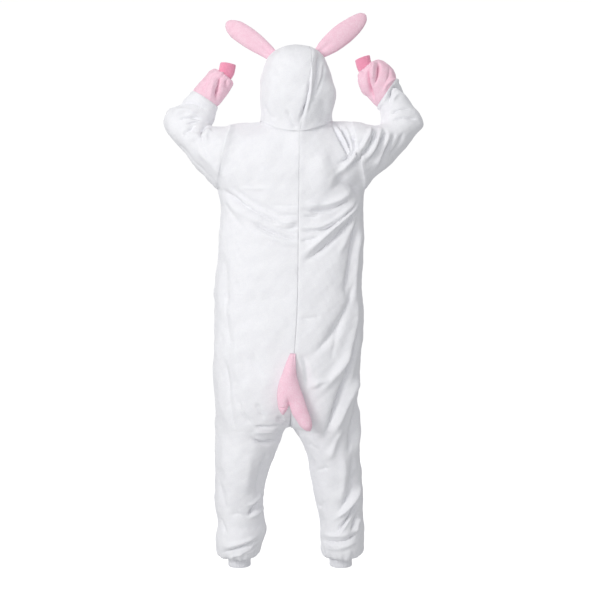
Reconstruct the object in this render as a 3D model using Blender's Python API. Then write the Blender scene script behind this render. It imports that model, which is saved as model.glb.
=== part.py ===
"""Hooded plush onesie, worn with both arms raised: the hollow garment alone, at its real size.

Metres, +Z up. X runs to the wearer's right, -Y to the wearer's back. The origin lies between the
shoulders, which hold the garment up, above the point where the legs part. Every cloth piece is a
wall grown inwards from a grid of points on the garment's outside, and two pieces that are sewn
together share the points of their seam, each drawn back by half the seam gap.
"""

import math

import bpy
import numpy as np
from mathutils import Vector
from mathutils.bvhtree import BVHTree

# Driving dimensions
PLUSH = 0.003  # thickness of the white and the pale pink plush
RIB_CLOTH = 0.0022  # thickness of the knitted cuffs
SEAM_GAP = 0.0003
ARMPIT = -0.203  # height of the underarm point below the neck seam
CROTCH = -0.945
LEG_HEM = -1.360

# Grid density of the cloth walls
BODY_COLUMNS = {"back": 9, "front": 8}
YOKE_ROWS = 9
NECK_COLUMNS = 4
HOOD_ROWS = 10
RIBS_AT_WRIST = 20
RIBS_AT_ANKLE = 22
RIB_HEIGHT = 0.0008


def table(names, rows):
    """Columns of a table by name, as arrays."""
    return dict(zip(names.split(), np.array(rows, float).T))


# Half of the body and its leg, as level sections. outer is the side seam, inner the inside leg seam
# below the crotch, back and front the depth of the section, and share says how much of that depth
# the middle seam has: 1 on the trunk, 0 at the crotch, where the two legs part.
SECTION = "height outer inner back front share"
LEFT_HALF = table(SECTION, [
    (-1.360, -0.1965, -0.1215, 0.043, 0.043, 0.00),
    (-1.356, -0.2120, -0.1110, 0.058, 0.056, 0.00),
    (-1.348, -0.2270, -0.0990, 0.073, 0.070, 0.00),
    (-1.332, -0.2315, -0.0920, 0.081, 0.078, 0.00),
    (-1.307, -0.2330, -0.0820, 0.087, 0.083, 0.00),
    (-1.276, -0.2300, -0.0755, 0.088, 0.084, 0.00),
    (-1.244, -0.2270, -0.0820, 0.084, 0.082, 0.00),
    (-1.200, -0.2350, -0.0885, 0.086, 0.082, 0.00),
    (-1.150, -0.2360, -0.0830, 0.094, 0.087, 0.00),
    (-1.087, -0.2360, -0.0660, 0.104, 0.095, 0.00),
    (-1.055, -0.2360, -0.0530, 0.109, 0.100, 0.00),
    (-1.000, -0.2340, -0.0340, 0.120, 0.108, 0.00),
    (-0.965, -0.2335, -0.0225, 0.127, 0.112, 0.00),
    (-0.952, -0.2330, -0.0135, 0.130, 0.114, 0.00),
    (-0.947, -0.2330, -0.0065, 0.131, 0.115, 0.00),
    (-0.945, -0.2330, 0.0000, 0.132, 0.116, 0.00),
    (-0.942, -0.2330, 0.0000, 0.133, 0.117, 0.24),
    (-0.934, -0.2330, 0.0000, 0.136, 0.119, 0.47),
    (-0.915, -0.2335, 0.0000, 0.142, 0.124, 0.74),
    (-0.880, -0.2345, 0.0000, 0.152, 0.131, 0.93),
    (-0.830, -0.2380, 0.0000, 0.161, 0.137, 1.00),
    (-0.772, -0.2420, 0.0000, 0.166, 0.141, 1.00),
    (-0.677, -0.2395, 0.0000, 0.164, 0.145, 1.00),
    (-0.551, -0.2380, 0.0000, 0.154, 0.148, 1.00),
    (-0.394, -0.2237, 0.0000, 0.143, 0.148, 1.00),
    (-0.300, -0.2205, 0.0000, 0.138, 0.145, 1.00),
    (-0.236, -0.2215, 0.0000, 0.134, 0.140, 1.00),
    (-0.203, -0.2290, 0.0000, 0.132, 0.136, 1.00),
])
RIGHT_HALF = table(SECTION, [
    (-1.360, 0.1965, 0.1230, 0.043, 0.043, 0.00),
    (-1.356, 0.2110, 0.1120, 0.058, 0.056, 0.00),
    (-1.348, 0.2240, 0.1010, 0.072, 0.069, 0.00),
    (-1.332, 0.2310, 0.0965, 0.080, 0.077, 0.00),
    (-1.307, 0.2330, 0.0975, 0.084, 0.081, 0.00),
    (-1.276, 0.2330, 0.0975, 0.085, 0.081, 0.00),
    (-1.244, 0.2300, 0.0945, 0.083, 0.080, 0.00),
    (-1.200, 0.2255, 0.0840, 0.085, 0.081, 0.00),
    (-1.150, 0.2255, 0.0745, 0.093, 0.086, 0.00),
    (-1.087, 0.2240, 0.0630, 0.103, 0.094, 0.00),
    (-1.055, 0.2205, 0.0570, 0.108, 0.099, 0.00),
    (-1.000, 0.2180, 0.0380, 0.119, 0.107, 0.00),
    (-0.965, 0.2175, 0.0200, 0.126, 0.111, 0.00),
    (-0.952, 0.2170, 0.0125, 0.129, 0.113, 0.00),
    (-0.947, 0.2170, 0.0060, 0.131, 0.115, 0.00),
    (-0.945, 0.2170, 0.0000, 0.132, 0.116, 0.00),
    (-0.942, 0.2170, 0.0000, 0.133, 0.117, 0.24),
    (-0.934, 0.2165, 0.0000, 0.136, 0.119, 0.47),
    (-0.915, 0.2150, 0.0000, 0.142, 0.124, 0.74),
    (-0.880, 0.2145, 0.0000, 0.152, 0.131, 0.93),
    (-0.830, 0.2175, 0.0000, 0.161, 0.137, 1.00),
    (-0.772, 0.2205, 0.0000, 0.166, 0.141, 1.00),
    (-0.677, 0.2270, 0.0000, 0.164, 0.145, 1.00),
    (-0.551, 0.2300, 0.0000, 0.154, 0.148, 1.00),
    (-0.394, 0.2300, 0.0000, 0.143, 0.148, 1.00),
    (-0.300, 0.2330, 0.0000, 0.138, 0.145, 1.00),
    (-0.236, 0.2335, 0.0000, 0.134, 0.140, 1.00),
    (-0.203, 0.2370, 0.0000, 0.132, 0.136, 1.00),
])
# The middle seams of back and front: the body is turned a little, so they lie off the middle.
MIDDLE_SEAM = table("height back_x front_x", [
    (-0.945, 0.0000, 0.0000),
    (-0.830, 0.0080, -0.0060),
    (-0.720, 0.0140, -0.0130),
    (-0.550, 0.0240, -0.0200),
    (-0.300, 0.0270, -0.0200),
    (-0.120, 0.0290, -0.0060),
    (0.020, 0.0300, 0.0060),
])
# The middle seams above the underarm, as depth behind and in front of the side seams.
YOKE_PROFILE = table("height back front", [
    (-0.203, 0.132, 0.136),
    (-0.150, 0.131, 0.133),
    (-0.100, 0.126, 0.123),
    (-0.060, 0.118, 0.112),
    (-0.020, 0.103, 0.102),
])
# How a leg's sections turn into the trunk's: the height where each change starts, and its rise.
LEGS_JOIN = (-1.05, 0.09)  # the deepest place moves from over the leg to over the seat,
SEAT_JOINS = (-0.95, 0.22)  # where it lies this share of the way out, and then to the middle seam
SEAT_SHARE = 0.46
TRUNK_SQUARES = (-0.95, 0.15)  # the sections grow this much squarer than an ellipse
TRUNK_SQUARER = 0.35
COLUMNS_GATHER = (-1.00, 0.28)  # the columns gather between the deepest place and the side seam

NECK_MIDDLE = (0.019, -0.005)
NECK_HALF = (0.110, 0.098)
NECK_HEIGHT = {"side": 0.012, "back": -0.020, "front": -0.046}

# The sleeves, as sections in planes that stand on the X-Z plane. near is the edge on the head's
# side, far the edge on the elbow's side, half_depth and depth the section's half width and middle in Y.
RING = "near_x near_z far_x far_z depth half_depth"
LEFT_SLEEVE = table(RING, [
    (-0.1830, 0.0010, -0.2290, -0.2030, 0.000, 0.098),
    (-0.2080, -0.0060, -0.2720, -0.1590, 0.004, 0.090),
    (-0.2300, -0.0050, -0.3120, -0.1130, 0.012, 0.080),
    (-0.2470, -0.0010, -0.3580, -0.0610, 0.024, 0.071),
    (-0.2500, 0.0020, -0.3935, -0.0190, 0.034, 0.066),
    (-0.2480, 0.0070, -0.4005, 0.0130, 0.040, 0.064),
    (-0.2410, 0.0210, -0.3860, 0.0460, 0.043, 0.062),
    (-0.2360, 0.0440, -0.3530, 0.0720, 0.044, 0.057),
    (-0.2330, 0.0645, -0.3090, 0.1130, 0.044, 0.052),
])
RIGHT_SLEEVE = table(RING, [
    (0.1930, 0.0100, 0.2370, -0.2030, 0.000, 0.098),
    (0.2200, 0.0090, 0.2710, -0.1590, 0.004, 0.090),
    (0.2450, 0.0040, 0.3150, -0.1230, 0.012, 0.080),
    (0.2680, 0.0000, 0.3590, -0.0770, 0.024, 0.071),
    (0.2850, 0.0030, 0.3970, -0.0300, 0.034, 0.066),
    (0.2880, 0.0160, 0.4240, 0.0030, 0.040, 0.064),
    (0.2880, 0.0350, 0.4140, 0.0350, 0.043, 0.061),
    (0.2860, 0.0500, 0.3860, 0.0700, 0.044, 0.057),
    (0.2820, 0.0600, 0.3620, 0.1160, 0.044, 0.055),
    (0.2770, 0.0645, 0.3400, 0.1550, 0.044, 0.053),
])
# The pale pink sleeve ends, from the white sleeve to the gathered seam of the knitted cuff.
LEFT_END = table(RING, [
    (-0.2330, 0.0645, -0.3090, 0.1130, 0.044, 0.052),
    (-0.2100, 0.0910, -0.2895, 0.1370, 0.044, 0.050),
    (-0.1890, 0.1160, -0.2670, 0.1600, 0.044, 0.047),
    (-0.1795, 0.1360, -0.2510, 0.1770, 0.044, 0.042),
    (-0.1835, 0.1450, -0.2410, 0.1820, 0.044, 0.034),
    (-0.1870, 0.1500, -0.2270, 0.1770, 0.044, 0.026),
])
RIGHT_END = table(RING, [
    (0.2770, 0.0645, 0.3400, 0.1550, 0.044, 0.053),
    (0.2520, 0.0900, 0.3310, 0.1740, 0.044, 0.054),
    (0.2300, 0.1160, 0.3165, 0.1940, 0.044, 0.053),
    (0.2215, 0.1450, 0.2990, 0.2080, 0.044, 0.047),
    (0.2190, 0.1640, 0.2800, 0.2140, 0.044, 0.036),
    (0.2230, 0.1700, 0.2590, 0.2030, 0.044, 0.026),
])
LEFT_CUFF = table(RING, [
    (-0.1870, 0.1500, -0.2270, 0.1770, 0.044, 0.0260),
    (-0.1770, 0.1700, -0.2250, 0.1870, 0.044, 0.0250),
    (-0.1735, 0.1960, -0.2210, 0.2040, 0.044, 0.0240),
])
RIGHT_CUFF = table(RING, [
    (0.2230, 0.1700, 0.2590, 0.2030, 0.044, 0.0260),
    (0.2130, 0.1900, 0.2560, 0.2120, 0.044, 0.0250),
    (0.2080, 0.2110, 0.2530, 0.2270, 0.044, 0.0240),
])
ANKLE_CUFF_HEIGHTS = (-1.3605, -1.372, -1.385)
ANKLE_CUFF_HALF = (0.0355, 0.0415)
ANKLE_CUFF_SWELL = (1.03, 0.97, 1.0)  # its half sizes at each height, as shares

# The hood: a rounded form about a point inside it, its half sizes in each direction.
HOOD_MIDDLE = (0.019, -0.005, 0.100)
HOOD_HALF = {"x": 0.1145, "back": 0.128, "front": 0.116, "up": 0.149, "down": 0.400}
HOOD_FULLNESS = 2.35
HOOD_NECKING = 0.17  # share of its depth that the hood loses towards the neck seam
# Its middle seam, as degrees up from the back of the head. It wanders with the turned head.
HOOD_SEAM = table("turn x", [
    (-51, 0.0292),
    (-15, 0.0500),
    (15, 0.0615),
    (50, 0.0680),
    (80, 0.0560),
    (108, 0.0280),
    (131, 0.0120),
])
FACE_MIDDLE = (0.012, 0.088)
FACE_HALF = (0.080, 0.131)

# Ears and tail, stuffed: the middle line and half width of their outlines in the X-Z plane.
OUTLINE = "x z half_width"
LEFT_EAR = table(OUTLINE, [
    (-0.0560, 0.2180, 0.0200),
    (-0.0800, 0.2370, 0.0240),
    (-0.1080, 0.2580, 0.0290),
    (-0.1360, 0.2790, 0.0310),
    (-0.1640, 0.2990, 0.0300),
    (-0.1830, 0.3130, 0.0240),
    (-0.1975, 0.3240, 0.0130),
    (-0.2020, 0.3270, 0.0040),
])
RIGHT_EAR = table(OUTLINE, [
    (0.0900, 0.2230, 0.0190),
    (0.1100, 0.2400, 0.0260),
    (0.1370, 0.2620, 0.0320),
    (0.1650, 0.2860, 0.0340),
    (0.1930, 0.3090, 0.0310),
    (0.2160, 0.3300, 0.0250),
    (0.2330, 0.3465, 0.0150),
    (0.2390, 0.3520, 0.0050),
])
EAR_DEPTH = (-0.010, 0.022)
EAR_HALF_THICK = 0.017
EAR_SEAT = 0.0012  # how far the ears' roots stand off the hood's facets
# The tail's outline: its root, then the two points it parts into below the notch.
TAIL_ROOT = table("height left right", [
    (-0.706, 0.0010, 0.0170),
    (-0.724, -0.0070, 0.0176),
    (-0.742, -0.0141, 0.0182),
    (-0.765, -0.0225, 0.0205),
    (-0.790, -0.0320, 0.0263),
    (-0.812, -0.0365, 0.0330),
    (-0.832, -0.0379, 0.0406),
    (-0.857, -0.0362, 0.0486),
][::-1])
TAIL_NOTCH_X = -0.0021
TAIL_SHORT_POINT = table("height left right", [
    (-0.857, -0.0362, -0.0021),
    (-0.865, -0.0350, -0.0051),
    (-0.876, -0.0305, -0.0096),
    (-0.888, -0.0226, -0.0176),
][::-1])
TAIL_LONG_POINT = table("height left right", [
    (-0.857, -0.0021, 0.0486),
    (-0.865, 0.0009, 0.0516),
    (-0.885, 0.0068, 0.0585),
    (-0.903, 0.0188, 0.0651),
    (-0.920, 0.0295, 0.0675),
    (-0.930, 0.0397, 0.0651),
    (-0.937, 0.0507, 0.0611),
][::-1])
TAIL_HALF_THICK = 0.017
TAIL_POINT_FULLNESS = 0.8  # how full the two points are beside the root
TAIL_PARTS_FROM = 0.55  # share of the root's length where its form starts to part in two
TAIL_STAND_OFF = 0.0006

# Finish of each cloth: its colour as linear red, green and blue, and its roughness
FINISHES = {
    "white plush": ((0.93, 0.93, 0.95), 0.9),
    "pale pink plush": ((0.96, 0.70, 0.80), 0.9),
    "pink rib knit": ((0.95, 0.32, 0.52), 0.85),
    "white rib knit": ((0.90, 0.90, 0.92), 0.85),
    "white button": ((0.86, 0.86, 0.88), 0.4),
}

# The front closure
PLACKET_HALF = 0.016
PLACKET_THICK = 0.002
PLACKET_OFF = 0.0006
PLACKET_BOTTOM = -0.700
BUTTON_RADIUS = 0.010
BUTTON_THICK = 0.003
BUTTON_HEIGHTS = (-0.075, -0.215, -0.355, -0.495, -0.635)

# The largest folds. Each runs along a curve through three points of the X-Z plane. height is how
# far the cloth stands out along it, below zero where it sinks in, and half_width its half width.
FOLD = "x1 z1 x2 z2 x3 z3 half_width height"
BACK_FOLDS = table(FOLD, [
    (-0.205, -0.225, -0.090, -0.330, 0.020, -0.352, 0.020, 0.007),
    (0.020, -0.352, 0.135, -0.325, 0.215, -0.225, 0.020, 0.010),
    (0.015, -0.385, 0.110, -0.380, 0.185, -0.290, 0.018, -0.008),
    (0.205, -0.260, 0.130, -0.385, 0.020, -0.430, 0.016, 0.009),
    (0.190, -0.320, 0.165, -0.480, 0.080, -0.640, 0.030, -0.011),
    (0.205, -0.300, 0.190, -0.560, 0.125, -0.800, 0.024, 0.012),
    (0.205, -0.600, 0.170, -0.820, 0.095, -0.990, 0.018, -0.013),
    (0.085, -0.640, 0.045, -0.720, 0.030, -0.800, 0.020, -0.007),
    (0.125, -0.005, 0.140, -0.050, 0.175, -0.095, 0.011, -0.009),
    (0.150, 0.000, 0.165, -0.045, 0.195, -0.085, 0.011, 0.007),
    (0.235, -0.010, 0.220, -0.060, 0.150, -0.140, 0.013, -0.010),
    (0.250, -0.020, 0.235, -0.080, 0.155, -0.160, 0.013, 0.009),
    (0.262, -0.010, 0.255, -0.060, 0.225, -0.120, 0.012, -0.008),
    (0.315, -0.010, 0.305, -0.060, 0.265, -0.120, 0.013, -0.009),
    (0.350, -0.025, 0.340, -0.055, 0.315, -0.095, 0.013, -0.007),
    (-0.275, -0.005, -0.285, -0.040, -0.268, -0.070, 0.012, -0.009),
    (-0.305, -0.002, -0.330, -0.015, -0.345, -0.040, 0.012, -0.007),
    (-0.350, 0.055, -0.320, 0.070, -0.270, 0.045, 0.012, -0.009),
    (-0.218, 0.145, -0.228, 0.115, -0.232, 0.088, 0.011, -0.009),
    (0.252, 0.178, 0.252, 0.130, 0.272, 0.085, 0.012, -0.011),
    (0.284, 0.195, 0.282, 0.165, 0.272, 0.140, 0.010, -0.008),
    (0.062, 0.150, 0.055, 0.080, 0.032, 0.010, 0.012, -0.008),
    (0.105, 0.170, 0.090, 0.125, 0.068, 0.080, 0.015, -0.008),
    (-0.115, -0.965, -0.080, -1.005, -0.040, -1.005, 0.018, -0.011),
    (-0.165, -0.860, -0.150, -0.905, -0.118, -0.950, 0.018, -0.006),
    (-0.130, -1.205, -0.110, -1.230, -0.085, -1.190, 0.015, -0.010),
    (-0.205, -1.330, -0.160, -1.318, -0.100, -1.325, 0.012, -0.007),
    (0.215, -1.180, 0.185, -1.225, 0.145, -1.285, 0.015, -0.010),
    (0.105, -1.322, 0.150, -1.308, 0.205, -1.300, 0.012, -0.008),
])
FRONT_FOLDS = table(FOLD, [
    (-0.200, -0.235, -0.135, -0.320, -0.062, -0.350, 0.020, 0.008),
    (0.205, -0.235, 0.120, -0.330, 0.030, -0.360, 0.020, 0.008),
    (-0.190, -0.290, -0.120, -0.390, -0.068, -0.405, 0.018, -0.007),
    (0.195, -0.290, 0.110, -0.400, 0.036, -0.420, 0.018, -0.007),
    (-0.195, -0.450, -0.185, -0.650, -0.120, -0.830, 0.026, -0.009),
    (0.190, -0.450, 0.180, -0.640, 0.125, -0.820, 0.026, -0.009),
    (-0.120, -0.965, -0.080, -0.990, -0.045, -0.985, 0.018, -0.008),
    (0.120, -0.965, 0.085, -0.990, 0.045, -0.985, 0.018, -0.008),
    (-0.205, -1.190, -0.165, -1.225, -0.110, -1.215, 0.016, -0.008),
    (0.205, -1.190, 0.165, -1.225, 0.115, -1.215, 0.016, -0.008),
    (0.235, -0.010, 0.225, -0.060, 0.185, -0.120, 0.013, -0.008),
    (-0.215, -0.010, -0.215, -0.060, -0.185, -0.120, 0.013, -0.008),
    (-0.285, 0.000, -0.300, -0.030, -0.290, -0.065, 0.012, -0.009),
    (0.325, 0.000, 0.330, -0.030, 0.315, -0.070, 0.012, -0.009),
    (-0.350, 0.050, -0.310, 0.062, -0.262, 0.045, 0.012, -0.008),
    (0.395, 0.065, 0.350, 0.060, 0.300, 0.050, 0.012, -0.008),
    (0.252, 0.178, 0.255, 0.130, 0.275, 0.090, 0.012, -0.009),
    (-0.212, 0.145, -0.225, 0.115, -0.240, 0.095, 0.011, -0.008),
])


def smooth(at, known, values):
    """The curve through the known values, cubic between them and without overshoot."""
    at = np.clip(np.asarray(at, float), known[0], known[-1])
    step = np.diff(known)
    rise = np.diff(values) / step
    slope = np.concatenate([rise[:1], np.zeros(len(known) - 2), rise[-1:]])
    both = rise[:-1] * rise[1:] > 0
    slope[1:-1][both] = 2 * rise[:-1][both] * rise[1:][both] / (rise[:-1] + rise[1:])[both]
    i = np.clip(np.searchsorted(known, at, side="right") - 1, 0, len(known) - 2)
    t = (at - known[i]) / step[i]
    return (
        values[i] * (1 + 2 * t) * (1 - t) ** 2
        + values[i + 1] * t * t * (3 - 2 * t)
        + step[i] * t * (1 - t) * (slope[i] * (1 - t) - slope[i + 1] * t)
    )


def unit(vectors):
    return vectors / np.maximum(np.linalg.norm(vectors, axis=-1, keepdims=True), 1e-12)


def smoothstep(t):
    t = np.clip(t, 0, 1)
    return t * t * (3 - 2 * t)


def change(height, span):
    """How far a change over the height has come: 0 below where it starts, 1 above its end."""
    start, rise = span
    return smoothstep((height - start) / rise)


def distance_to_curve(x, z, fold):
    """Distance from each point to a fold's curve in the X-Z plane, and the share along the curve."""
    share = np.linspace(0, 1, 10)
    cx, cz = (
        (1 - share) ** 2 * fold[a] + 2 * share * (1 - share) * (2 * fold[b] - (fold[a] + fold[c]) / 2)
        + share**2 * fold[c]
        for a, b, c in (("x1", "x2", "x3"), ("z1", "z2", "z3"))
    )
    best = np.full(x.shape, np.inf)
    along = np.zeros(x.shape)
    for i in range(len(share) - 1):
        dx, dz = cx[i + 1] - cx[i], cz[i + 1] - cz[i]
        t = np.clip(((x - cx[i]) * dx + (z - cz[i]) * dz) / (dx * dx + dz * dz), 0, 1)
        away = np.hypot(x - cx[i] - t * dx, z - cz[i] - t * dz)
        along = np.where(away < best, share[i] + t * (share[1] - share[0]), along)
        best = np.minimum(best, away)
    return best, along


def fold_height(points, normals):
    """How far the folds move each point of the cloth outwards."""
    x, z = points[..., 0], points[..., 2]
    total = np.zeros(x.shape)
    for folds, facing in ((BACK_FOLDS, -normals[..., 1]), (FRONT_FOLDS, normals[..., 1])):
        shown = smoothstep(facing / 0.5)
        for i in range(len(folds["height"])):
            fold = {name: values[i] for name, values in folds.items()}
            away, along = distance_to_curve(x, z, fold)
            ends = smoothstep(along / 0.22) * smoothstep((1 - along) / 0.22)
            total += fold["height"] * np.exp(-1.2 * (away / fold["half_width"]) ** 2) * ends * shown
    return total


def grid_normals(points, middle, cyclic=False):
    """Normals of a grid of cloth points, all on the side that faces away from the middle."""
    if cyclic:
        round_it = np.roll(points, -1, axis=1) - np.roll(points, 1, axis=1)
    else:
        round_it = np.gradient(points, axis=1)
    normals = unit(np.cross(np.gradient(points, axis=0), round_it))
    return normals * np.sign((normals * (points - middle)).sum())


def across(run, guide):
    """The guide directions, turned square to the run of a seam."""
    run, guide = unit(run), np.broadcast_to(np.asarray(guide, float), run.shape)
    return unit(guide - (guide * run).sum(-1, keepdims=True) * run)


def seam_normals(line, guide):
    """Normals of the cloth along a seam: at right angles to it, towards the guide direction."""
    return across(np.gradient(line, axis=0), guide)


def draw_back(grid, side):
    """Moves one edge of a grid into its piece by half the seam gap, along the cloth."""
    edge, inner = {
        "first_row": (np.s_[0], np.s_[1]),
        "last_row": (np.s_[-1], np.s_[-2]),
        "first_column": (np.s_[:, 0], np.s_[:, 1]),
        "last_column": (np.s_[:, -1], np.s_[:, -2]),
    }[side]
    return edge, unit(grid[inner] - grid[edge]) * SEAM_GAP / 2


def wall(points, normals, thick, cyclic=False, drawn_back=(), relief=None):
    """Vertices and faces of a cloth wall: the grid is its outside, and it grows inwards."""
    folded = points + fold_height(points, normals)[..., None] * normals
    for side in drawn_back:
        edge, move = draw_back(points, side)
        folded[edge] += move
    outside = folded if relief is None else folded + relief[..., None] * normals
    inside = folded - thick * normals
    rows, columns = points.shape[:2]
    vertices = np.concatenate([outside.reshape(-1, 3), inside.reshape(-1, 3)])
    shift = rows * columns

    def at(row, column, layer):
        return layer * shift + row * columns + column % columns

    faces = []
    for row in range(rows - 1):
        for column in range(columns if cyclic else columns - 1):
            corners = [(row, column), (row, column + 1), (row + 1, column + 1), (row + 1, column)]
            a, b, c, d = (outside[r, c % columns] for r, c in corners)
            if np.linalg.norm(b - d) < np.linalg.norm(a - c):
                corners = corners[1:] + corners[:1]
            for triangle in (corners[:3], (corners[0], corners[2], corners[3])):
                faces.append([at(r, c, 0) for r, c in triangle[::-1]])
                faces.append([at(r, c, 1) for r, c in triangle])
    border = []
    for column in range(columns if cyclic else columns - 1):
        border.append(((0, column), (0, column + 1)))
        border.append(((rows - 1, column + 1), (rows - 1, column)))
    if not cyclic:
        for row in range(rows - 1):
            border.append(((row + 1, 0), (row, 0)))
            border.append(((row, columns - 1), (row + 1, columns - 1)))
    for (r1, c1), (r2, c2) in border:
        rim = [at(r1, c1, 0), at(r2, c2, 0), at(r2, c2, 1), at(r1, c1, 1)]
        a, b, c, d = (vertices[k] for k in rim)
        if np.linalg.norm(b - d) < np.linalg.norm(a - c):
            rim = rim[1:] + rim[:1]
        faces += [rim[:3], [rim[0], rim[2], rim[3]]]
    return vertices, faces


def material(name):
    colour, roughness = FINISHES[name]
    made = bpy.data.materials.new(name)
    made.use_nodes = True
    shader = made.node_tree.nodes["Principled BSDF"]
    shader.inputs["Base Color"].default_value = (*colour, 1)
    shader.inputs["Roughness"].default_value = roughness
    shader.inputs["Metallic"].default_value = 0
    return made


def solid(name, vertices, faces, finish):
    """A named object from vertices and faces."""
    mesh = bpy.data.meshes.new(name)
    mesh.from_pydata([tuple(v) for v in vertices], [], faces)
    mesh.materials.append(finish)
    mesh.shade_smooth()
    mesh.set_sharp_from_angle(angle=math.radians(50))
    made = bpy.data.objects.new(name, mesh)
    bpy.context.scene.collection.objects.link(made)
    return made


def panel(name, points, normals, finish, **options):
    """A cloth piece. A grid on the wearer's left runs the other way round, so it is turned."""
    row, column = points.shape[0] // 2, points.shape[1] // 2
    if np.linalg.det(np.stack([
        points[row + 1, column] - points[row, column],
        points[row, column + 1] - points[row, column],
        normals[row, column],
    ])) < 0:
        flipped = {"first_column": "last_column", "last_column": "first_column"}
        options["drawn_back"] = [flipped.get(s, s) for s in options.get("drawn_back", ())]
        points, normals = points[:, ::-1], normals[:, ::-1]
        if options.get("relief") is not None:
            options["relief"] = options["relief"][:, ::-1]
    return solid(name, *wall(points, normals, options.pop("thick", PLUSH), **options), finish)


def level_half(side_table, heights, facing, columns):
    """Rows of points round one half of the body at each height, from its middle seam to its side seam.

    Each section is deepest over the leg. Up the seat that place moves to the middle seam, and the
    columns gather on the side beyond it.
    """
    part = {name: smooth(heights, side_table["height"], side_table[name])[:, None] for name in side_table}
    seam = smooth(heights, MIDDLE_SEAM["height"], MIDDLE_SEAM[f"{facing}_x"])[:, None]
    height = heights[:, None]
    inner = np.where(height > CROTCH, seam, part["inner"])
    joined = change(height, LEGS_JOIN)
    over_leg = (part["outer"] + inner) / 2
    over_seat = seam + SEAT_SHARE * (1 - change(height, SEAT_JOINS)) * (part["outer"] - seam)
    deepest = (1 - joined) * over_leg + joined * over_seat
    reach = -part["back"] if facing == "back" else part["front"]
    power = 2 / (2 + TRUNK_SQUARER * change(height, TRUNK_SQUARES))
    gathered = math.pi / 2 * change(height, COLUMNS_GATHER)
    turn = gathered + (math.pi - gathered) * np.linspace(0, 1, columns + 1)
    turn[:, 0] = 0
    cosine, sine = np.abs(np.cos(turn)), np.maximum(np.sin(turn), 0)
    near = turn < math.pi / 2
    x = np.where(
        near, deepest + (inner - deepest) * cosine, deepest + (part["outer"] - deepest) * cosine**power
    )
    y = reach * np.where(near, part["share"] + (1 - part["share"]) * sine, sine**power)
    y[:, -1] = 0
    return np.stack([x, y, np.broadcast_to(height, x.shape)], axis=-1)


def relaxed(points, first_row, rounds):
    """The grid with its inner points from a row upwards eased towards their neighbours."""
    points = points.copy()
    for _ in range(rounds):
        mean = (points[:-2, 1:-1] + points[2:, 1:-1] + points[1:-1, :-2] + points[1:-1, 2:]) / 4
        points[1:-1, 1:-1][first_row:] += 0.6 * (mean - points[1:-1, 1:-1])[first_row:]
    return points


def neck_point(angle):
    """Points of the neck seam. The angle is 0 at the right shoulder and -90 degrees at the nape."""
    cosine, sine = np.cos(angle), np.sin(angle)
    low = np.where(sine < 0, NECK_HEIGHT["back"], NECK_HEIGHT["front"])
    return np.stack([
        NECK_MIDDLE[0] + NECK_HALF[0] * cosine,
        NECK_MIDDLE[1] + NECK_HALF[1] * sine,
        NECK_HEIGHT["side"] * cosine**2 + low * sine**2,
    ], axis=-1)


def neck_arc(side, facing):
    """The neck seam from the middle of back or front to the shoulder seam, with its normals."""
    seam_x = smooth(np.array([0.0]), MIDDLE_SEAM["height"], MIDDLE_SEAM[f"{facing}_x"])[0]
    sign = -1 if facing == "back" else 1
    middle = sign * math.acos((seam_x - NECK_MIDDLE[0]) / NECK_HALF[0])
    shoulder = math.asin(-NECK_MIDDLE[1] / NECK_HALF[1])
    shoulder = shoulder if side > 0 else sign * math.pi - shoulder
    angles = np.linspace(middle, shoulder, NECK_COLUMNS + 1)
    points = neck_point(angles)
    away = unit((points - (*NECK_MIDDLE, 0)) * (1, 1, 0)) * (1 + 1.2 * np.sin(angles) ** 4)[:, None]
    return points, across(neck_point(angles + 0.01) - neck_point(angles - 0.01), away + (0, 0, 1))


def ring(rings, at, turn):
    """Points of a sleeve's section. at runs along the sleeve, turn from its far edge over the back."""
    known = np.arange(len(rings["near_x"]), dtype=float)
    part = {name: smooth(at, known, rings[name]) for name in rings}
    middle_x, middle_z = (part["near_x"] + part["far_x"]) / 2, (part["near_z"] + part["far_z"]) / 2
    half_x, half_z = (part["far_x"] - part["near_x"]) / 2, (part["far_z"] - part["near_z"]) / 2
    return np.stack([
        middle_x[:, None] + half_x[:, None] * np.cos(turn),
        part["depth"][:, None] - part["half_depth"][:, None] * np.sin(turn),
        middle_z[:, None] + half_z[:, None] * np.cos(turn),
    ], axis=-1)


def ring_normals(rings, at, turn):
    """Normals that lie in the section's own plane."""
    run = ring(rings, at, turn + 0.01) - ring(rings, at, turn - 0.01)
    middle = (ring(rings, at, turn * 0) + ring(rings, at, turn * 0 + math.pi)) / 2
    return across(run, ring(rings, at, turn) - middle)


def coons(bottom, top, first, last):
    """A grid that fills four edges. bottom and top run along its columns, first and last up its rows."""
    u = np.linspace(0, 1, len(bottom))[None, :, None]
    v = np.linspace(0, 1, len(first))[:, None, None]
    ruled = (1 - v) * bottom[None] + v * top[None] + (1 - u) * first[:, None] + u * last[:, None]
    corners = (1 - v) * ((1 - u) * bottom[0] + u * bottom[-1]) + v * ((1 - u) * top[0] + u * top[-1])
    return ruled - corners


def armhole_turn(facing):
    """Where the armhole's points lie on the sleeve's first section."""
    sign = 1 if facing == "back" else -1
    return np.array([0.0]), sign * np.linspace(0, math.pi, YOKE_ROWS + 1)[None, :]


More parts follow.
